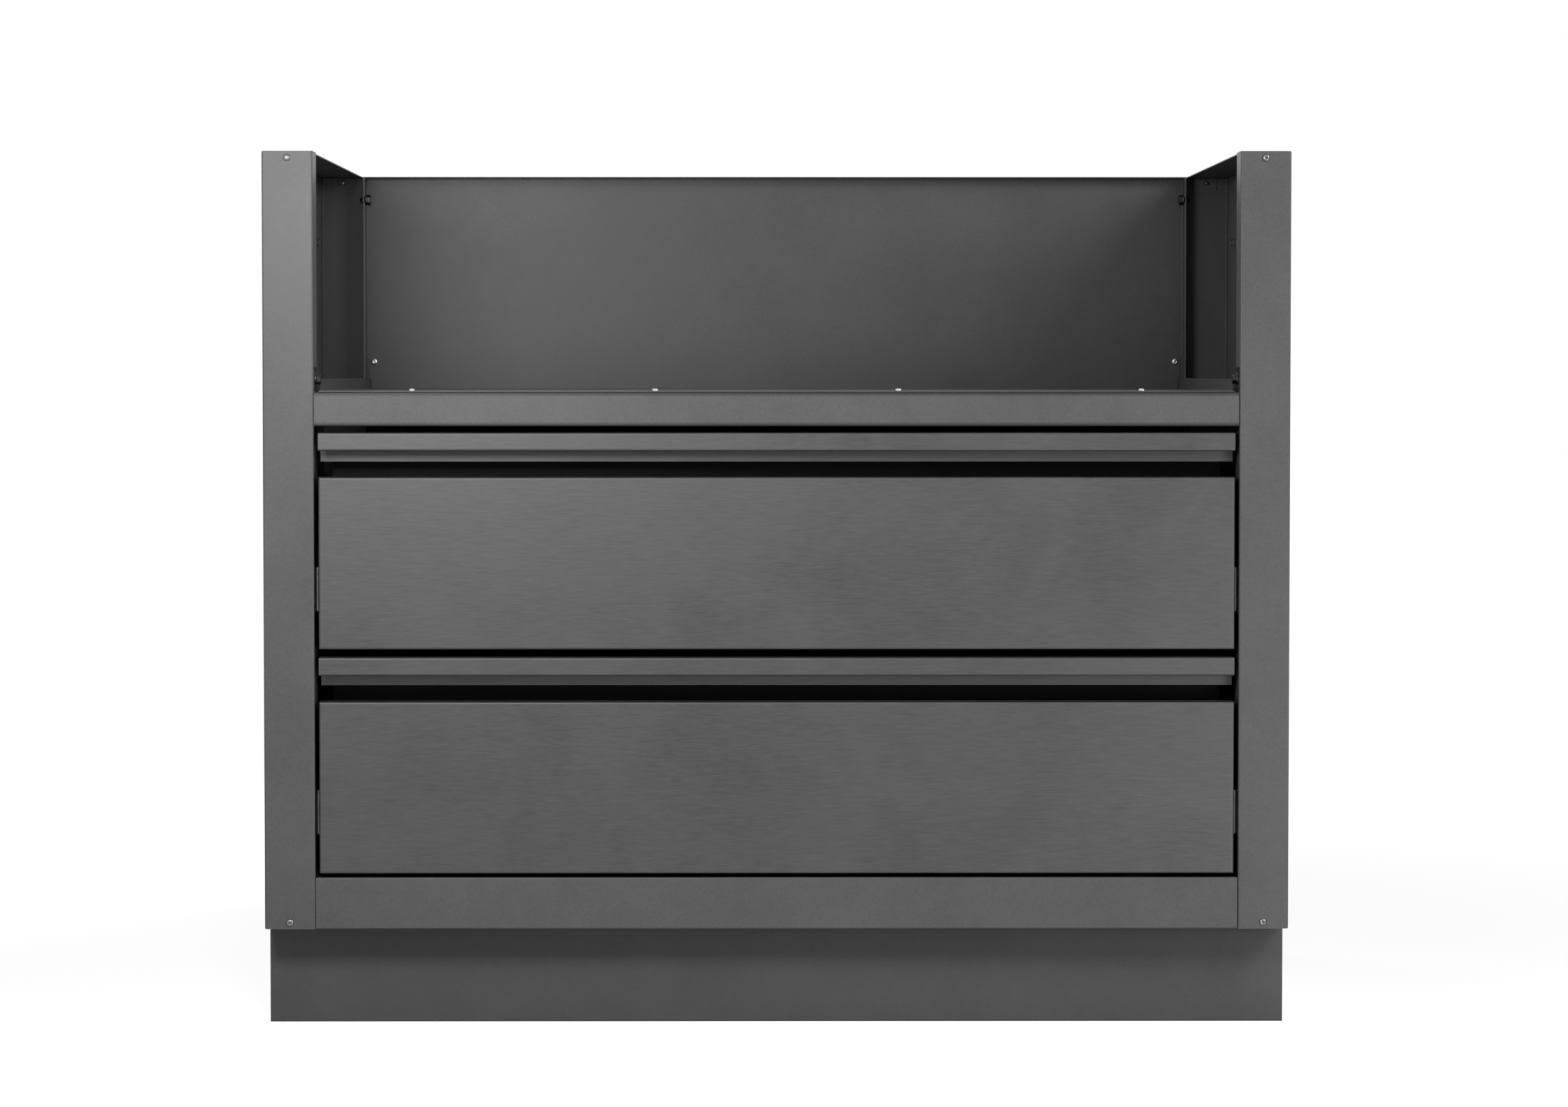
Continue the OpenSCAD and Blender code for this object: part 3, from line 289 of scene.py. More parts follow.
class Shader(Nodes):
    """A material's node tree with short calls for the nodes that the finishes share"""

    def __init__(self, name, **values):
        self.material = bpy.data.materials.new(name)
        self.material.use_nodes = True
        super().__init__(self.material.node_tree)
        output = self.add("ShaderNodeOutputMaterial")
        self.surface = self.add("ShaderNodeBsdfPrincipled")
        self.link(self.surface.outputs["BSDF"], output.inputs["Surface"])
        self.place = self.add("ShaderNodeTexCoord").outputs["Object"]
        for socket, value in values.items():
            self.surface.inputs[socket.replace("_", " ").title().replace("Ior", "IOR")].default_value = value

    def stretched(self, scale):
        """Object coordinates multiplied along each axis"""
        mapping = self.add("ShaderNodeMapping", vector_type="POINT")
        self.link(self.place, mapping.inputs["Vector"])
        mapping.inputs["Scale"].default_value = scale
        return mapping.outputs["Vector"]

    def noise(self, size, detail=2.0, roughness=0.5, place=None, distortion=0.0):
        """Noise whose features are about size metres across"""
        node = self.add("ShaderNodeTexNoise")
        self.link(place or self.place, node.inputs["Vector"])
        node.inputs["Scale"].default_value = 1.0 / size
        node.inputs["Detail"].default_value = detail
        node.inputs["Roughness"].default_value = roughness
        node.inputs["Distortion"].default_value = distortion
        return node.outputs["Fac"]

    def spread(self, value, low, high, start=0.3, stop=0.7):
        """Value between start and stop, spread from low to high"""
        node = self.add("ShaderNodeMapRange")
        self.link(value, node.inputs["Value"])
        node.inputs["From Min"].default_value = start
        node.inputs["From Max"].default_value = stop
        node.inputs["To Min"].default_value = low
        node.inputs["To Max"].default_value = high
        return node.outputs["Result"]

    def layered(self, start, layers):
        """Start with layers added to it, each a value and what it adds at its low and at its high"""
        total = None
        for value, low, high in layers:
            if total:
                total = self.maths("ADD", total, self.spread(value, low, high))
            else:
                total = self.spread(value, start + low, start + high)
        return total

    def blend(self, *layers):
        """Sum of layers, each a value and its share"""
        return self.layered(0.0, [(value, 0.0, share) for value, share in layers])

    def flatness(self, reach):
        """1 on open sheet and less within reach of a cut edge or an inside corner"""
        bevel = self.add("ShaderNodeBevel", samples=6)
        bevel.inputs["Radius"].default_value = reach
        face = self.add("ShaderNodeNewGeometry")
        agree = self.add("ShaderNodeVectorMath", operation="DOT_PRODUCT")
        self.link(bevel.outputs["Normal"], agree.inputs[0])
        self.link(face.outputs["True Normal"], agree.inputs[1])
        return agree.outputs["Value"]

    def openness(self, reach, alone):
        """1 on open faces and less in a deep corner, of the piece alone or of all that lies within reach"""
        node = self.add("ShaderNodeAmbientOcclusion", samples=8, only_local=alone)
        node.inputs["Distance"].default_value = reach
        return node.outputs["AO"]

    def between(self, low, high, reach):
        """1 between two heights and down to 0 over reach at both of them"""
        height = self.add("ShaderNodeSeparateXYZ")
        self.link(self.place, height.inputs["Vector"])
        over_low = self.spread(height.outputs["Z"], 0.0, 1.0, low, low + reach)
        under_high = self.spread(height.outputs["Z"], 1.0, 0.0, high - reach, high)
        return self.maths("MULTIPLY", over_low, under_high)

    def shade(self, factor, dark, light):
        """Colour between dark and light, each a colour or another shade"""
        node = self.add("ShaderNodeMix", data_type="RGBA")
        self.link(factor, node.inputs["Factor"])
        for socket, part in (("A", dark), ("B", light)):
            if isinstance(part, tuple):
                node.inputs[socket].default_value = (*part, 1.0)
            else:
                self.link(part, node.inputs[socket])
        return node.outputs["Result"]

    def colour(self, value):
        self.link(value, self.surface.inputs["Base Color"])

    def rough(self, middle, *layers):
        """Roughness about a middle, each layer a value and how much it takes away and adds"""
        total = self.layered(middle, [(value, -less, more) for value, less, more in layers])
        self.link(total, self.surface.inputs["Roughness"])

    def relief(self, *layers):
        """Bumps, each a height value and its height in metres"""
        previous = None
        for value, height in layers:
            bump = self.add("ShaderNodeBump")
            bump.inputs["Strength"].default_value = 1.0
            bump.inputs["Distance"].default_value = height
            self.link(value, bump.inputs["Height"])
            if previous:
                self.link(previous, bump.inputs["Normal"])
            previous = bump.outputs["Normal"]
        self.link(previous, self.surface.inputs["Normal"])


def tone(colour, factor):
    """Colour made lighter or darker"""
    return tuple(min(1.0, part * factor) for part in colour)


def powder_coat(name, colour, gloss, settings, folds=None, highlight_edges=True, alone=False):
    """Satin powder coat: fine peel and grit, faint clouds in tone and gloss, painted shade in deep corners
    and in bands along given folds, and painted highlights along edges
    """
    shader = Shader(name, metallic=0.0, specular_ior_level=gloss)
    clouds = shader.noise(settings.cloud_size, detail=4.0, roughness=0.62)
    mottle = shader.noise(settings.mottle_size, detail=3.0, roughness=0.65)
    grit = shader.noise(settings.grit_size, detail=2.0, roughness=0.7)
    peel = shader.noise(settings.peel_size, detail=1.5)
    swell = shader.noise(settings.swell_size)
    grain = shader.blend((clouds, 0.42), (mottle, 0.12), (grit, 0.46))
    # Shares of the colour: clouds darkest and lightest, painted shade in folds, painted highlight on edges,
    # painted shade in corners
    darkest, lightest, fold_shade, edge_highlight, corner_shade = 0.80, 1.20, 0.05, 1.9, 0.25
    coat = shader.shade(grain, tone(colour, darkest), tone(colour, lightest))
    # Painted shade: dark bands along the front rail's top and bottom folds
    if folds:
        coat = shader.shade(shader.between(*folds, settings.shaded_fold_reach), tone(colour, fold_shade), coat)
    # Painted highlight: the coat lighter along edges and bends
    if highlight_edges:
        edge = shader.spread(shader.flatness(settings.edge_reach), 1.0, 0.0, AT_EDGE, ON_SHEET)
        coat = shader.shade(edge, coat, tone(colour, edge_highlight))
    # Painted shade: the coat darker in deep corners, by how closed in each point is
    open_face = shader.spread(shader.openness(settings.shaded_corner_reach, alone), 0.0, 1.0, 0.0, FULLY_OPEN)
    shader.colour(shader.shade(open_face, tone(colour, corner_shade), coat))
    shader.rough(settings.roughness, (clouds, 0.04, 0.03), (grit, 0.04, 0.04))
    shader.relief((peel, settings.peel_height), (swell, settings.swell_height))
    return shader.material


def brushed_stainless(name, settings):
    """Stainless sheet brushed along the width: short fine lines, a few longer ones, faint hand smears and a
    painted shade line along the folded edges
    """
    shader = Shader(name, metallic=1.0)
    across = 1.0 / settings.grain_width
    along = 1.0 / settings.grain_length

    def brushed(along_share, across_share, **values):
        """Noise drawn out along the width, with shares of the brush lines' own count along and across"""
        place = shader.stretched((along * along_share, across * across_share, across * across_share))
        return shader.noise(1.0, place=place, **values)

    lines = brushed(1.0, 1.0, roughness=0.6)
    strokes = brushed(0.5, 0.22)
    ticks = brushed(6.0, 1.7, detail=1.0)
    smears = shader.noise(settings.smear_size, detail=4.0, roughness=0.62, distortion=0.5)
    grain = shader.blend((lines, 0.42), (strokes, 0.18), (ticks, 0.12), (smears, 0.28))
    darkest, lightest, edge_shade = 0.68, 1.24, 0.4
    sheet = shader.shade(grain, tone(settings.colour, darkest), tone(settings.colour, lightest))
    # Painted shade: a dark line along the folded edges
    edge = shader.spread(shader.flatness(settings.edge_reach), 0.0, 1.0, AT_EDGE, ON_SHEET)
    shader.colour(shader.shade(edge, tone(settings.colour, edge_shade), sheet))
    shader.rough(settings.roughness, (lines, 0.05, 0.05), (smears, 0.04, 0.05))
    shader.relief((lines, 0.008 * MM), (ticks, 0.005 * MM))
    return shader.material


def zinc_plate(name, colour):
    """Zinc plate with lines drawn along the slides, a faint spangle, and painted shade in grooves and sockets
    """
    shader = Shader(name, metallic=1.0)
    lines_across, lines_along, spangle_size, shaded_groove_reach = 900, 12, 4 * MM, 3 * MM
    darkest, lightest, groove_shade = 0.82, 1.12, 0.05
    drawn = shader.noise(1.0, place=shader.stretched((lines_across, lines_along, lines_across)))
    spangle = shader.noise(spangle_size, distortion=0.8)
    grain = shader.blend((drawn, 0.5), (spangle, 0.5))
    plate = shader.shade(grain, tone(colour, darkest), tone(colour, lightest))
    # Painted shade: grooves and sockets darker in colour
    depth = shader.spread(shader.openness(shaded_groove_reach, alone=True), 0.0, 1.0, 0.25, 0.8)
    shader.colour(shader.shade(depth, tone(colour, groove_shade), plate))
    shader.rough(0.33, (spangle, 0.07, 0.07))
    shader.relief((drawn, 0.006 * MM))
    return shader.material


def oxide_steel(name, colour):
    """Black oxide on steel, slightly worn and oily"""
    shader = Shader(name, metallic=0.85)
    wear_size, grit_size = 2.2 * MM, 0.35 * MM
    darkest, lightest = 0.6, 1.8
    wear = shader.noise(wear_size, detail=3.0, roughness=0.7)
    grit = shader.noise(grit_size, detail=1.0)
    shader.colour(shader.shade(shader.blend((wear, 1.0)), tone(colour, darkest), tone(colour, lightest)))
    shader.rough(0.33, (wear, 0.09, 0.09))
    shader.relief((grit, 0.01 * MM))
    return shader.material


def ball_steel(name):
    """Polished balls and their plain cage strip"""
    shader = Shader(name, metallic=1.0)
    haze_size = 1.4 * MM
    haze = shader.noise(haze_size)
    shader.colour(shader.shade(shader.blend((haze, 1.0)), DULL_BALL, CLEAR_BALL))
    shader.rough(0.15, (haze, 0.05, 0.05))
    shader.relief((haze, 0.002 * MM))
    return shader.material


def material(name):
    """The material of a finish, made when it is first asked for"""
    scene = bpy.context.scene
    paint = scene.cabinet_paint
    cabinet = (paint.colour, paint.gloss, paint)
    box = (paint.box_black_and_shade, paint.box_gloss, paint)
    rail_folds = (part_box("front_rail")[0].z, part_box("grill_tray")[0].z)
    makers = {
        "cabinet_powder_coat": lambda n: powder_coat(n, *cabinet),
        "front_rail_powder_coat": lambda n: powder_coat(n, *cabinet, folds=rail_folds, highlight_edges=False),
        "tray_powder_coat": lambda n: powder_coat(n, *cabinet, highlight_edges=False),
        "drawer_box_powder_coat": lambda n: powder_coat(n, *box, alone=True),
        "brushed_stainless_sheet": lambda n: brushed_stainless(n, scene.cabinet_stainless),
        "zinc_plated_steel": lambda n: zinc_plate(n, SLIDE_ZINC),
        "bright_screw_steel": lambda n: zinc_plate(n, BRIGHT_ZINC),
        "dull_zinc_steel": lambda n: zinc_plate(n, SHADED_ZINC),
        "black_oxide_steel": lambda n: oxide_steel(n, BLACK_OXIDE),
        "polished_ball_steel": ball_steel,
    }
    return bpy.data.materials.get(name) or makers[name](name)


def finish_nodes(names, finish):
    """Gives CAD nodes a finish"""
    for name in names:
        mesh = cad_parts[name].data
        mesh.materials.clear()
        mesh.materials.append(material(finish))


# Turned and hexagonal shapes

def hexagon(flats, angle):
    """Distance from the axis to the flats of a hexagon, at an angle"""
    sector = math.pi / 3
    return flats / 2 / math.cos(angle % sector - sector / 2)


def lathe(name, rows, segments=24, ring=False):
    """Closed mesh from rows, each a function of the angle that gives a radius and a height"""
    bm = bmesh.new()
    loops = []
    for row in rows:
        loop = []
        for i in range(segments):
            angle = 2 * math.pi * i / segments
            radius, height = row(angle)
            loop.append(bm.verts.new((radius * math.cos(angle), radius * math.sin(angle), height)))
        loops.append(loop)
    pairs = list(zip(loops, loops[1:]))
    if ring:
        pairs.append((loops[-1], loops[0]))
    for low, high in pairs:
        for i in range(segments):
            j = (i + 1) % segments
            bm.faces.new((low[i], low[j], high[j], high[i]))
    if not ring:
        bm.faces.new(loops[0])
        bm.faces.new(loops[-1])
    bmesh.ops.remove_doubles(bm, verts=bm.verts, dist=SAME_CORNER)
    bmesh.ops.recalc_face_normals(bm, faces=bm.faces)
    for face in bm.faces:
        face.smooth = True
    for edge in bm.edges:
        if len(edge.link_faces) == 2 and edge.calc_face_angle() > SHARP_ANGLE:
            edge.smooth = False
    mesh = bpy.data.meshes.new(name)
    bm.to_mesh(mesh)
    bm.free()
    return bpy.data.objects.new(name, mesh)


def plain_row(radius, height):
    """A round row of a turned shape"""
    return lambda angle: (radius, height)


def hex_row(flats, height):
    """A hexagonal row of a turned shape"""
    return lambda angle: (hexagon(flats, angle), height)


def thread_rows(radius, start, end, pitch, depth):
    """Rows of a helical thread, from start down to end"""
    steps = max(2, round((start - end) / pitch * ROWS_PER_TURN))

    def row(height):
        def at(angle):
            wave = abs((height / pitch - angle / (2 * math.pi)) % 1.0 - 0.5) * 2
            return radius - depth * wave, height
        return at
    return [row(start + (end - start) * i / steps) for i in range(steps + 1)]


def shank_rows(seat, settings):
    """Plain neck, thread and chamfered point under a head"""
    r, length = seat["shank_r"], seat["shank_l"]
    neck = min(0.6 * MM, length * 0.2)
    point = min(0.7 * MM, length * 0.15)
    tip = r * 0.66
    rows = [plain_row(r, 0.0), plain_row(r, -neck)]
    rows += thread_rows(r, -neck, -length + point, settings.thread_pitch, settings.thread_depth)
    return rows + [plain_row(tip, -length)]


def dome_screw(name, seat, settings):
    """Button-head screw with a chamfered hexagon socket"""
    r, h = seat["head_r"], seat["head_h"]
    socket = r * 0.68
    rim = h * 0.96
    chamfer = 0.1 * MM
    # The socket from its floor up to its rim, then the crown down to the foot
    rows = [hex_row(socket * 0.98, h * 0.38), hex_row(socket, h * 0.42), hex_row(socket, rim - chamfer),
            lambda angle: (hexagon(socket, angle) * 0.4 + r * 0.36, rim)]
    crown, side, steps, skirt = 0.52, 0.985, 5, 0.26
    full_rise = math.cos(math.asin(crown))
    for i in range(steps + 1):
        share = i / steps
        rise = math.cos(math.asin(crown + (1 - crown) * share)) / full_rise
        rows.append(plain_row(r * (crown + (side - crown) * share), h * (skirt + (1 - skirt) * rise)))
    rows += [plain_row(r, h * 0.16), plain_row(r * 0.97, 0.0)]
    return lathe(name, rows + shank_rows(seat, settings))


def hex_bolt(name, seat, settings):
    """Hexagon bolt with a chamfered crown and a round washer face under its head"""
    flats, height = seat["flats"], seat["head_h"]
    crown = flats / 2 * 0.94
    slope = math.tan(math.radians(30))
    dish, face_top, face_low = 0.06 * MM, 0.15 * MM, 0.1 * MM
    rows = [
        plain_row(crown * 0.5, height - dish), plain_row(crown, height),
        lambda angle: (hexagon(flats, angle), height - (hexagon(flats, angle) - crown) * slope),
        hex_row(flats, face_top), plain_row(flats / 2 * 0.95, face_low), plain_row(flats / 2 * 0.93, 0.0),
    ]
    return lathe(name, rows + shank_rows(seat, settings), segments=36)


def rivet_nut(name, seat, settings):
    """Blind rivet nut: flush neck in the wall, pressed bulge behind it, body with a threaded bore"""
    r, height, neck, bore, wall = (seat[k] for k in ("head_r", "head_h", "shank_r", "bore_r", "shank_l"))
    body = r * 0.84
    # The neck in the wall, the bulge behind it and the body, then back down the threaded bore
    outside = [(neck, -wall), (neck, 0.0), (r * 0.97, 0.0), (r, height * 0.06), (r, height * 0.22),
               (r * 0.94, height * 0.30), (body, height * 0.36), (body, height * 0.92), (body * 0.93, height)]
    soft = 0.3 * MM
    inside = thread_rows(bore + settings.thread_depth, height - soft, -wall + soft,
                         settings.thread_pitch, settings.thread_depth)
    countersink = bore + 0.45 * MM
    rows = [plain_row(*point) for point in outside] + [plain_row(countersink, height)]
    return lathe(name, rows + inside + [plain_row(countersink, -wall)], segments=28, ring=True)


def flat_washer(name, seat, settings):
    """Stamped washer with one rounded edge"""
    r, bore, t = seat["head_r"], seat["bore_r"], seat["head_h"]
    soft = t * 0.25
    profile = [(bore, 0.0), (bore, t - soft / 2), (bore + soft / 2, t), (r - soft, t),
               (r - soft * 0.3, t - soft * 0.3), (r, t - soft), (r, 0.0)]
    return lathe(name, [plain_row(*point) for point in profile], segments=36, ring=True)


# Where the fasteners sit

def loose_parts(node):
    """Corner points of each separate solid in a CAD node"""
    bm = bmesh.new()
    bm.from_mesh(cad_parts[node].data)
    bmesh.ops.remove_doubles(bm, verts=bm.verts, dist=SAME_POINT)
    seen, parts = set(), []
    for vert in bm.verts:
        if vert.index in seen:
            continue
        stack, part = [vert], []
        seen.add(vert.index)
        while stack:
            here = stack.pop()
            part.append(here.co.copy())
            for edge in here.link_edges:
                other = edge.other_vert(here)
                if other.index not in seen:
                    seen.add(other.index)
                    stack.append(other)
        parts.append(part)
    bm.free()
    return parts


def odd_axis(part):
    """The axis along which a turned part's extent differs from the other two"""
    spans = [max(p[i] for p in part) - min(p[i] for p in part) for i in range(3)]
    gaps = [abs(spans[(i + 1) % 3] - spans[(i + 2) % 3]) for i in range(3)]
    return gaps.index(min(gaps))


def seats(node, axis=None, flats=False, ringed=False):
    """Foot of each fastener's head, the way it faces, and its sizes, read from the CAD node"""
    found = []
    for part in loose_parts(node):
        along = odd_axis(part) if axis is None else axis
        centre = Vector([(max(p[i] for p in part) + min(p[i] for p in part)) / 2 for i in range(3)])
        reach = [math.hypot(*[(p - centre)[i] for i in range(3) if i != along]) for p in part]
        widest = max(reach)
        wide = [p[along] for p, r in zip(part, reach) if r > widest * 0.97]
        low, high = min(p[along] for p in part), max(p[along] for p in part)
        if ringed:
            facing = -1.0 if centre.x > 0 else 1.0
        else:
            facing = 1.0 if high - max(wide) < min(wide) - low else -1.0
        foot = min(wide) if facing > 0 else max(wide)
        top = high if facing > 0 else low
        end = low if facing > 0 else high
        place = centre.copy()
        place[along] = foot
        turn = Vector((0.0, 0.0, 0.0))
        turn[along] = facing
        stem = [r for p, r in zip(part, reach) if abs(p[along] - end) < SAME_POINT and r > 10 * SAME_POINT]
        sizes = {
            "head_r": widest, "head_h": abs(top - foot), "shank_l": abs(foot - end), "shank_r": max(stem),
            "bore_r": min(reach), "flats": widest * 2 * math.cos(math.pi / 6) if flats else 0.0,
        }
        found.append({"place": place, "turn": turn, **{name: round(size, 7) for name, size in sizes.items()}})
    return found


# Geometry nodes

class GeometryTree(Nodes):
    """A geometry node tree with named inputs"""

    def __init__(self, name):
        super().__init__(bpy.data.node_groups.new(name, "GeometryNodeTree"))
        for side in ("INPUT", "OUTPUT"):
            self.tree.interface.new_socket("Geometry", in_out=side, socket_type="NodeSocketGeometry")
        self.start = self.add("NodeGroupInput")
        self.end = self.add("NodeGroupOutput")

    def input(self, name, kind, default=None):
        socket = self.tree.interface.new_socket(name, in_out="INPUT", socket_type=kind)
        if default is not None:
            socket.default_value = default
        return self.start.outputs[name]


def fastener_tree():
    """Stands a fastener on each point, facing the point's turn, rolled by a seeded random angle"""
    if "fasteners_on_seats" in bpy.data.node_groups:
        return bpy.data.node_groups["fasteners_on_seats"]
    tree = GeometryTree("fasteners_on_seats")
    pattern = tree.input("Fastener", "NodeSocketObject")
    size = tree.input("Size", "NodeSocketFloat", 1.0)
    roll = tree.input("Largest Roll", "NodeSocketFloat", 2 * math.pi)
    seed = tree.input("Seed", "NodeSocketInt", 0)
    finish = tree.input("Finish", "NodeSocketMaterial")
    info = tree.add("GeometryNodeObjectInfo", transform_space="ORIGINAL")
    turn = tree.add("GeometryNodeInputNamedAttribute", data_type="FLOAT_VECTOR")
    turn.inputs["Name"].default_value = "turn"
    face = tree.add("FunctionNodeAlignRotationToVector", axis="Z")
    random = tree.add("FunctionNodeRandomValue", data_type="FLOAT")
    spin = tree.add("FunctionNodeAxisAngleToRotation")
    both = tree.add("FunctionNodeRotateRotation", rotation_space="LOCAL")
    copies = tree.add("GeometryNodeInstanceOnPoints")
    real = tree.add("GeometryNodeRealizeInstances")
    paint = tree.add("GeometryNodeSetMaterial")
    tree.link(pattern, info.inputs["Object"])
    tree.link(turn.outputs["Attribute"], face.inputs["Vector"])
    tree.link(roll, random.inputs["Max"])
    tree.link(seed, random.inputs["Seed"])
    tree.link(random.outputs["Value"], spin.inputs["Angle"])
    tree.link(face.outputs["Rotation"], both.inputs["Rotation"])
    tree.link(spin.outputs["Rotation"], both.inputs["Rotate By"])
    tree.link(tree.start.outputs["Geometry"], copies.inputs["Points"])
    tree.link(info.outputs["Geometry"], copies.inputs["Instance"])
    tree.link(both.outputs["Rotation"], copies.inputs["Rotation"])
    tree.link(size, copies.inputs["Scale"])
    tree.link(copies.outputs["Instances"], real.inputs["Geometry"])
    tree.link(real.outputs["Geometry"], paint.inputs["Geometry"])
    tree.link(finish, paint.inputs["Material"])
    tree.link(paint.outputs["Geometry"], tree.end.inputs["Geometry"])
    return tree.tree


def seat_points(name, places):
    """Mesh of loose points, each with the way that its fastener faces"""
    mesh = bpy.data.meshes.new(name)
    mesh.from_pydata([seat["place"] for seat in places], [], [])
    turns = mesh.attributes.new("turn", "FLOAT_VECTOR", "POINT")
    for item, seat in zip(turns.data, places):
        item.vector = seat["turn"]
    piece = bpy.data.objects.new(name, mesh)
    bpy.context.scene.collection.objects.link(piece)
    return piece


def grown(piece, tree, **inputs):
    """Runs a geometry node tree on a piece and keeps its result as the piece's plain mesh"""
    modifier = piece.modifiers.new(tree.name, "NODES")
    modifier.node_group = tree
    sockets = {item.name: item.identifier for item in tree.interface.items_tree if item.in_out == "INPUT"}
    for name, value in inputs.items():
        modifier[sockets[name.replace("_", " ").title()]] = value
    bpy.context.view_layer.update()
    graph = bpy.context.evaluated_depsgraph_get()
    mesh = bpy.data.meshes.new_from_object(piece.evaluated_get(graph))
    mesh.name = piece.name
    piece.modifiers.remove(modifier)
    old = piece.data
    piece.data = mesh
    bpy.data.meshes.remove(old)
    if "turn" in mesh.attributes:
        mesh.attributes.remove(mesh.attributes["turn"])
    return piece


def joined(name, pieces):
    """One mesh object from several that share a body"""
    if len(pieces) > 1:
        with bpy.context.temp_override(active_object=pieces[0], selected_editable_objects=pieces):
            bpy.ops.object.join()
    pieces[0].name = name
    pieces[0].data.name = name
    return pieces[0]


def fit_fasteners(node, name, body, slot, finish, maker, **reading):
    """Replaces a CAD node of fasteners by detailed ones in the same places"""
    scene = bpy.context.scene
    settings = scene.cabinet_fasteners
    kinds = {}
    for seat in seats(node, **reading):
        key = tuple(round(seat[k] / SAME_SIZE) for k in ("head_r", "head_h", "shank_l"))
        kinds.setdefault(key, []).append(seat)
    pieces = []
    for number, (key, places) in enumerate(sorted(kinds.items())):
        pattern = maker(f"{name}_pattern_{number}", places[0], settings)
        scene.collection.objects.link(pattern)
        piece = seat_points(f"{name}_{number}", places)
        grown(piece, fastener_tree(), fastener=pattern, seed=settings.turn_seed + number,
              finish=material(finish))
        bpy.data.objects.remove(pattern)
        pieces.append(piece)
    piece = joined(name, pieces)
    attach(piece, body)
    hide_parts(node)
    return piece


# Operators

class CABINET_OT_paint_cabinet(bpy.types.Operator):
    """Powder coats the side panels, the back, the tray, the rails and the plinth"""
    bl_idname = "cabinet.paint_cabinet"
    bl_label = "Paint Cabinet"

    def execute(self, context):
        mounts = [f"{level}_{side}_mount" for level in LEVELS for side in SIDES]
        finish_nodes([*BODY_SHEETS, *mounts], "cabinet_powder_coat")
        finish_nodes(["front_rail"], "front_rail_powder_coat")
        finish_nodes(["grill_tray"], "tray_powder_coat")
        return {"FINISHED"}


class CABINET_OT_paint_drawer_boxes(bpy.types.Operator):
    """Powder coats the inner fronts and the boxes of the drawers near black, darker than black paint as
    painted shade for the finger gaps
    """
    bl_idname = "cabinet.paint_drawer_boxes"
    bl_label = "Paint Drawer Boxes"

    def execute(self, context):
        for level in LEVELS:
            finish_nodes([f"{level}_{sheet}" for sheet in BOX_SHEETS], "drawer_box_powder_coat")
        return {"FINISHED"}


class CABINET_OT_brush_drawer_fronts(bpy.types.Operator):
    """Gives the drawer panels and the handles their brushed stainless finish"""
    bl_idname = "cabinet.brush_drawer_fronts"
    bl_label = "Brush Drawer Fronts"

    def execute(self, context):
        for level in LEVELS:
            finish_nodes([f"{level}_front_panel", f"{level}_handle"], "brushed_stainless_sheet")
        return {"FINISHED"}


class CABINET_OT_plate_slides(bpy.types.Operator):
    """Plates the slide members and polishes the balls in their cages"""
    bl_idname = "cabinet.plate_slides"
    bl_label = "Plate Slides"

    def execute(self, context):
        for level in LEVELS:
            kinds = ("cabinet", "middle", "drawer")
            members = [f"{level}_{side}_{kind}_member" for side in SIDES for kind in kinds]
            finish_nodes(members, "zinc_plated_steel")
            finish_nodes([f"{level}_outer_ball_cages", f"{level}_inner_ball_cages"], "polished_ball_steel")
        return {"FINISHED"}


class CABINET_OT_fit_small_screws(bpy.types.Operator):
    """Fits the button-head screws with their sockets and threads"""
    bl_idname = "cabinet.fit_small_screws"
    bl_label = "Fit Small Screws"

    def execute(self, context):
        # Painted shade: the corner and plinth screws take the darkened copy of the screw zinc
        fixed = (
            ("corner_screws", "corner_button_screws", "dull_zinc_steel"),
            ("rail_screws", "rail_button_screws", "bright_screw_steel"),
            ("tray_screws", "tray_button_screws", "bright_screw_steel"),
            ("plinth_screws", "plinth_button_screws", "dull_zinc_steel"),
            ("slide_screws", "slide_button_screws", "bright_screw_steel"),
        )
        for node, name, finish in fixed:
            fit_fasteners(node, name, "cabinet", "zinc_plate", finish, dome_screw)
        for level in LEVELS:
            fit_fasteners(f"{level}_drawer_screws", f"{level}_drawer_button_screws", f"{level}_drawer",
                          "zinc_plate", "bright_screw_steel", dome_screw)
        return {"FINISHED"}


class CABINET_OT_fit_frame_bolts(bpy.types.Operator):
    """Fits the hexagon bolts and washers of the cabinet's corners, and the rivet nuts for its neighbours"""
    bl_idname = "cabinet.fit_frame_bolts"
    bl_label = "Fit Frame Bolts"

    def execute(self, context):
        black = ("cabinet", "black_steel", "black_oxide_steel")
        fit_fasteners("frame_bolts", "chamfered_frame_bolts", *black, hex_bolt, axis=0, flats=True)
        fit_fasteners("frame_washers", "stamped_frame_washers", *black, flat_washer, axis=0, ringed=True)
        fit_fasteners("link_nuts", "link_rivet_nuts", "cabinet", "cabinet_paint", "cabinet_powder_coat",
                      rivet_nut, axis=0, ringed=True)
        return {"FINISHED"}


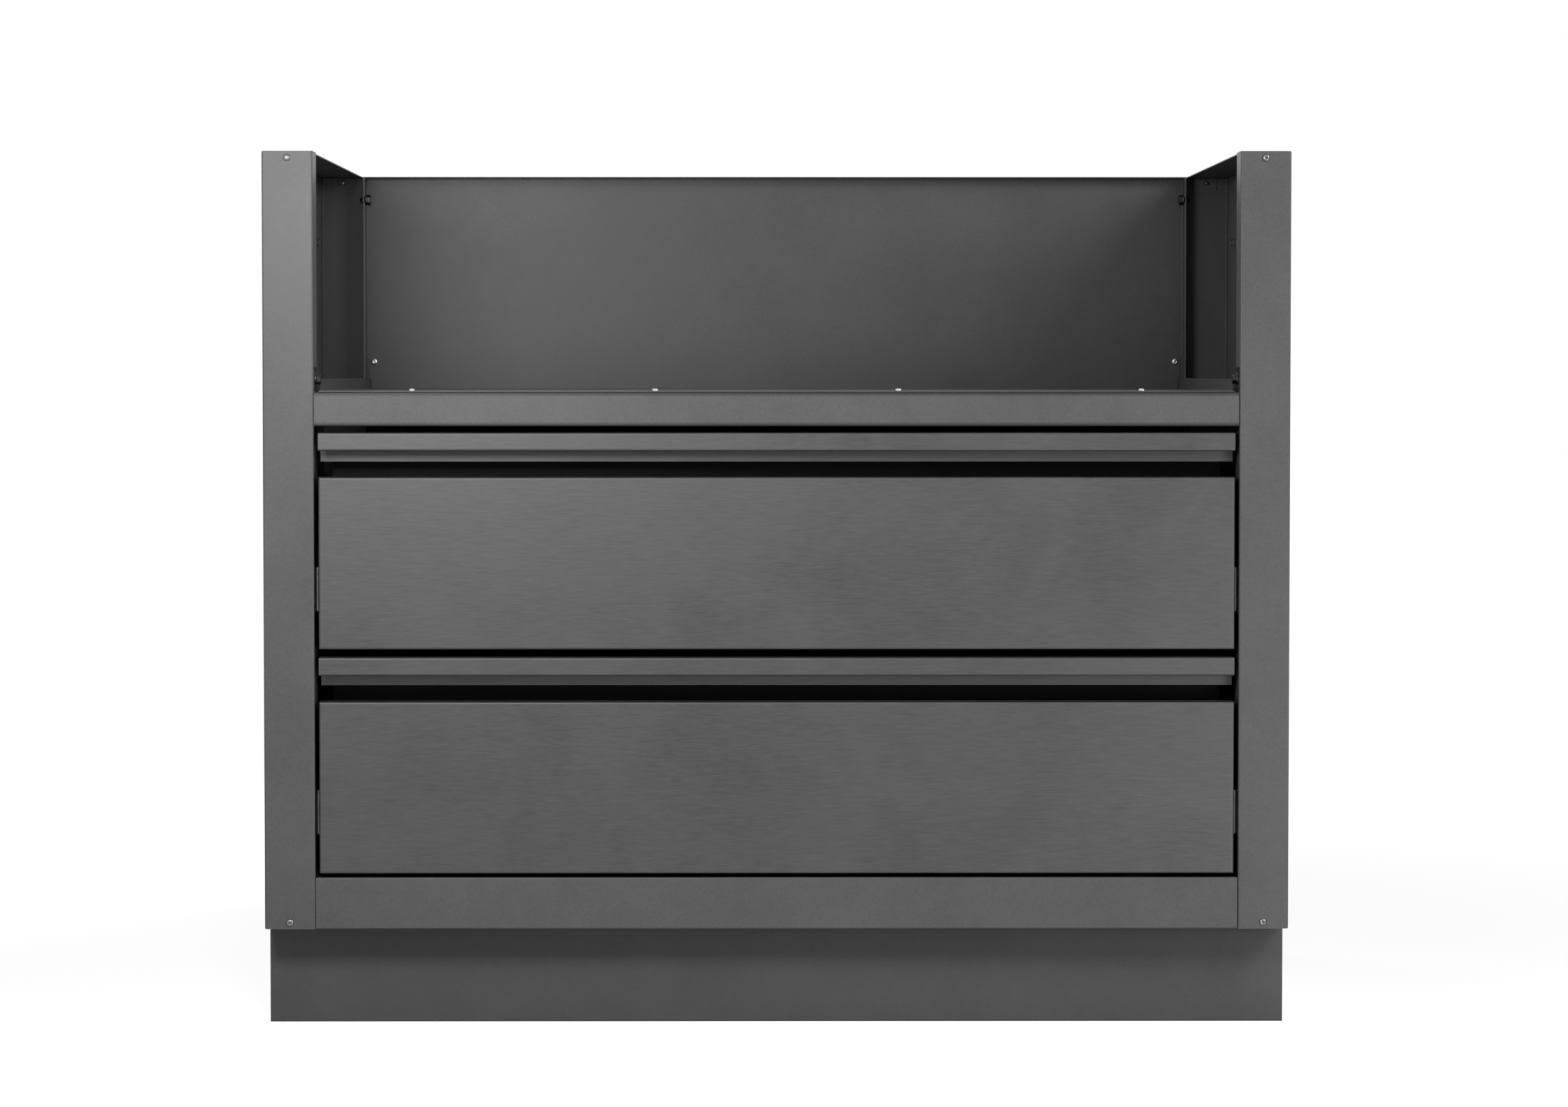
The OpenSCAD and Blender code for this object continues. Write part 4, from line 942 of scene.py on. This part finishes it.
class CABINET_OT_build_studio(bpy.types.Operator):
    """Sets up the pale floor, the soft lights and the camera"""
    bl_idname = "cabinet.build_studio"
    bl_label = "Build Studio"

    def execute(self, context):
        scene = context.scene
        settings = scene.cabinet_studio
        scene.view_settings.view_transform = "Standard"
        self.add_camera(scene, settings)
        self.add_floor(scene, CAD_BOUNDS[0].z, settings)
        self.add_world(scene, settings)
        for name, power, place, aim, size in SOFTBOXES:
            self.add_soft_light(scene, name, place, aim, size, getattr(settings, power))
        return {"FINISHED"}

    def add_camera(self, scene, settings):
        """Camera at eye height, looking slightly down at the front"""
        data = bpy.data.cameras.new("studio_camera")
        camera = bpy.data.objects.new("studio_camera", data)
        scene.collection.objects.link(camera)
        scene.camera = camera
        data.sensor_width = SENSOR_WIDTH
        data.lens = settings.lens
        data.clip_end = FARTHEST_VIEW
        stile_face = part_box("left_side_panel")[0].y
        camera.location = (CAMERA_X, stile_face - CAMERA_DISTANCE, CAMERA_HEIGHT)
        level = math.cos(CAMERA_PITCH)
        sight = Vector((math.sin(CAMERA_YAW) * level, math.cos(CAMERA_YAW) * level, -math.sin(CAMERA_PITCH)))
        camera.rotation_euler = sight.to_track_quat("-Z", "Y").to_euler()

    def add_floor(self, scene, ground, settings):
        """Wide pale floor that glows where it is seen and takes the shadow"""
        shader = Shader("studio_floor_paint", roughness=0.9, metallic=0.0, specular_ior_level=0.1)
        shader.surface.inputs["Base Color"].default_value = FLOOR_GREY
        shader.surface.inputs["Emission Color"].default_value = WHITE
        far = shader.add("ShaderNodeVectorMath", operation="LENGTH")
        shader.link(shader.place, far.inputs[0])
        glow = shader.spread(far.outputs["Value"], settings.floor_glow, FAR_GLOW, GLOW_NEAR, GLOW_FAR)
        strength = shader.maths("MULTIPLY", shader.seen_directly(), glow)
        shader.link(strength, shader.surface.inputs["Emission Strength"])
        mesh = bpy.data.meshes.new("studio_floor")
        corners = [(x * FLOOR_HALF, y * FLOOR_HALF, ground) for x, y in ((-1, -1), (1, -1), (1, 1), (-1, 1))]
        mesh.from_pydata(corners, [], [(0, 1, 2, 3)])
        mesh.materials.append(shader.material)
        floor = bpy.data.objects.new("studio_floor", mesh)
        scene.collection.objects.link(floor)

    def add_world(self, scene, settings):
        """White surroundings where they are seen, and a faint even light elsewhere"""
        world = bpy.data.worlds.new("studio_world")
        scene.world = world
        world.use_nodes = True
        nodes = Nodes(world.node_tree)
        output = nodes.add("ShaderNodeOutputWorld")
        choose = nodes.add("ShaderNodeMixShader")
        nodes.link(nodes.seen_directly(), choose.inputs["Fac"])
        for socket, strength in ((1, settings.sky), (2, 1.0)):
            background = nodes.add("ShaderNodeBackground")
            background.inputs["Color"].default_value = WHITE
            background.inputs["Strength"].default_value = strength
            nodes.link(background.outputs["Background"], choose.inputs[socket])
        nodes.link(choose.outputs["Shader"], output.inputs["Surface"])

    def add_soft_light(self, scene, name, place, aim, size, power):
        """Rectangular area light aimed at a point"""
        data = bpy.data.lights.new(name, "AREA")
        data.shape = "RECTANGLE"
        data.size, data.size_y = size
        data.energy = power
        light = bpy.data.objects.new(name, data)
        light.location = place
        light.rotation_euler = (Vector(aim) - Vector(place)).to_track_quat("-Z", "Y").to_euler()
        scene.collection.objects.link(light)


OPERATORS = (
    CABINET_OT_build_studio,
    CABINET_OT_paint_cabinet,
    CABINET_OT_paint_drawer_boxes,
    CABINET_OT_brush_drawer_fronts,
    CABINET_OT_plate_slides,
    CABINET_OT_fit_small_screws,
    CABINET_OT_fit_frame_bolts,
)


class CABINET_PT_tools(bpy.types.Panel):
    """Lists the cabinet's finishes and pieces"""
    bl_idname = "CABINET_PT_tools"
    bl_label = "Outdoor Kitchen Cabinet"
    bl_space_type = "VIEW_3D"
    bl_region_type = "UI"
    bl_category = "Cabinet"

    def draw(self, context):
        for operator in OPERATORS:
            self.layout.operator(operator.bl_idname)
        for name, group in SETTINGS.items():
            box = self.layout.box()
            box.label(text=group.__doc__)
            for setting in group.__annotations__:
                box.prop(getattr(context.scene, name), setting)


CLASSES = (*SETTINGS.values(), *OPERATORS, CABINET_PT_tools)


def register():
    for item in CLASSES:
        bpy.utils.register_class(item)
    for name, group in SETTINGS.items():
        setattr(bpy.types.Scene, name, PointerProperty(type=group))


def unregister():
    for name in SETTINGS:
        delattr(bpy.types.Scene, name)
    for item in reversed(CLASSES):
        bpy.utils.unregister_class(item)


def main():
    register()
    bpy.ops.cabinet.build_studio()
    bpy.ops.cabinet.paint_cabinet()
    bpy.ops.cabinet.paint_drawer_boxes()
    bpy.ops.cabinet.brush_drawer_fronts()
    bpy.ops.cabinet.plate_slides()
    bpy.ops.cabinet.fit_small_screws()
    bpy.ops.cabinet.fit_frame_bolts()


if __name__ == "__main__":
    main()
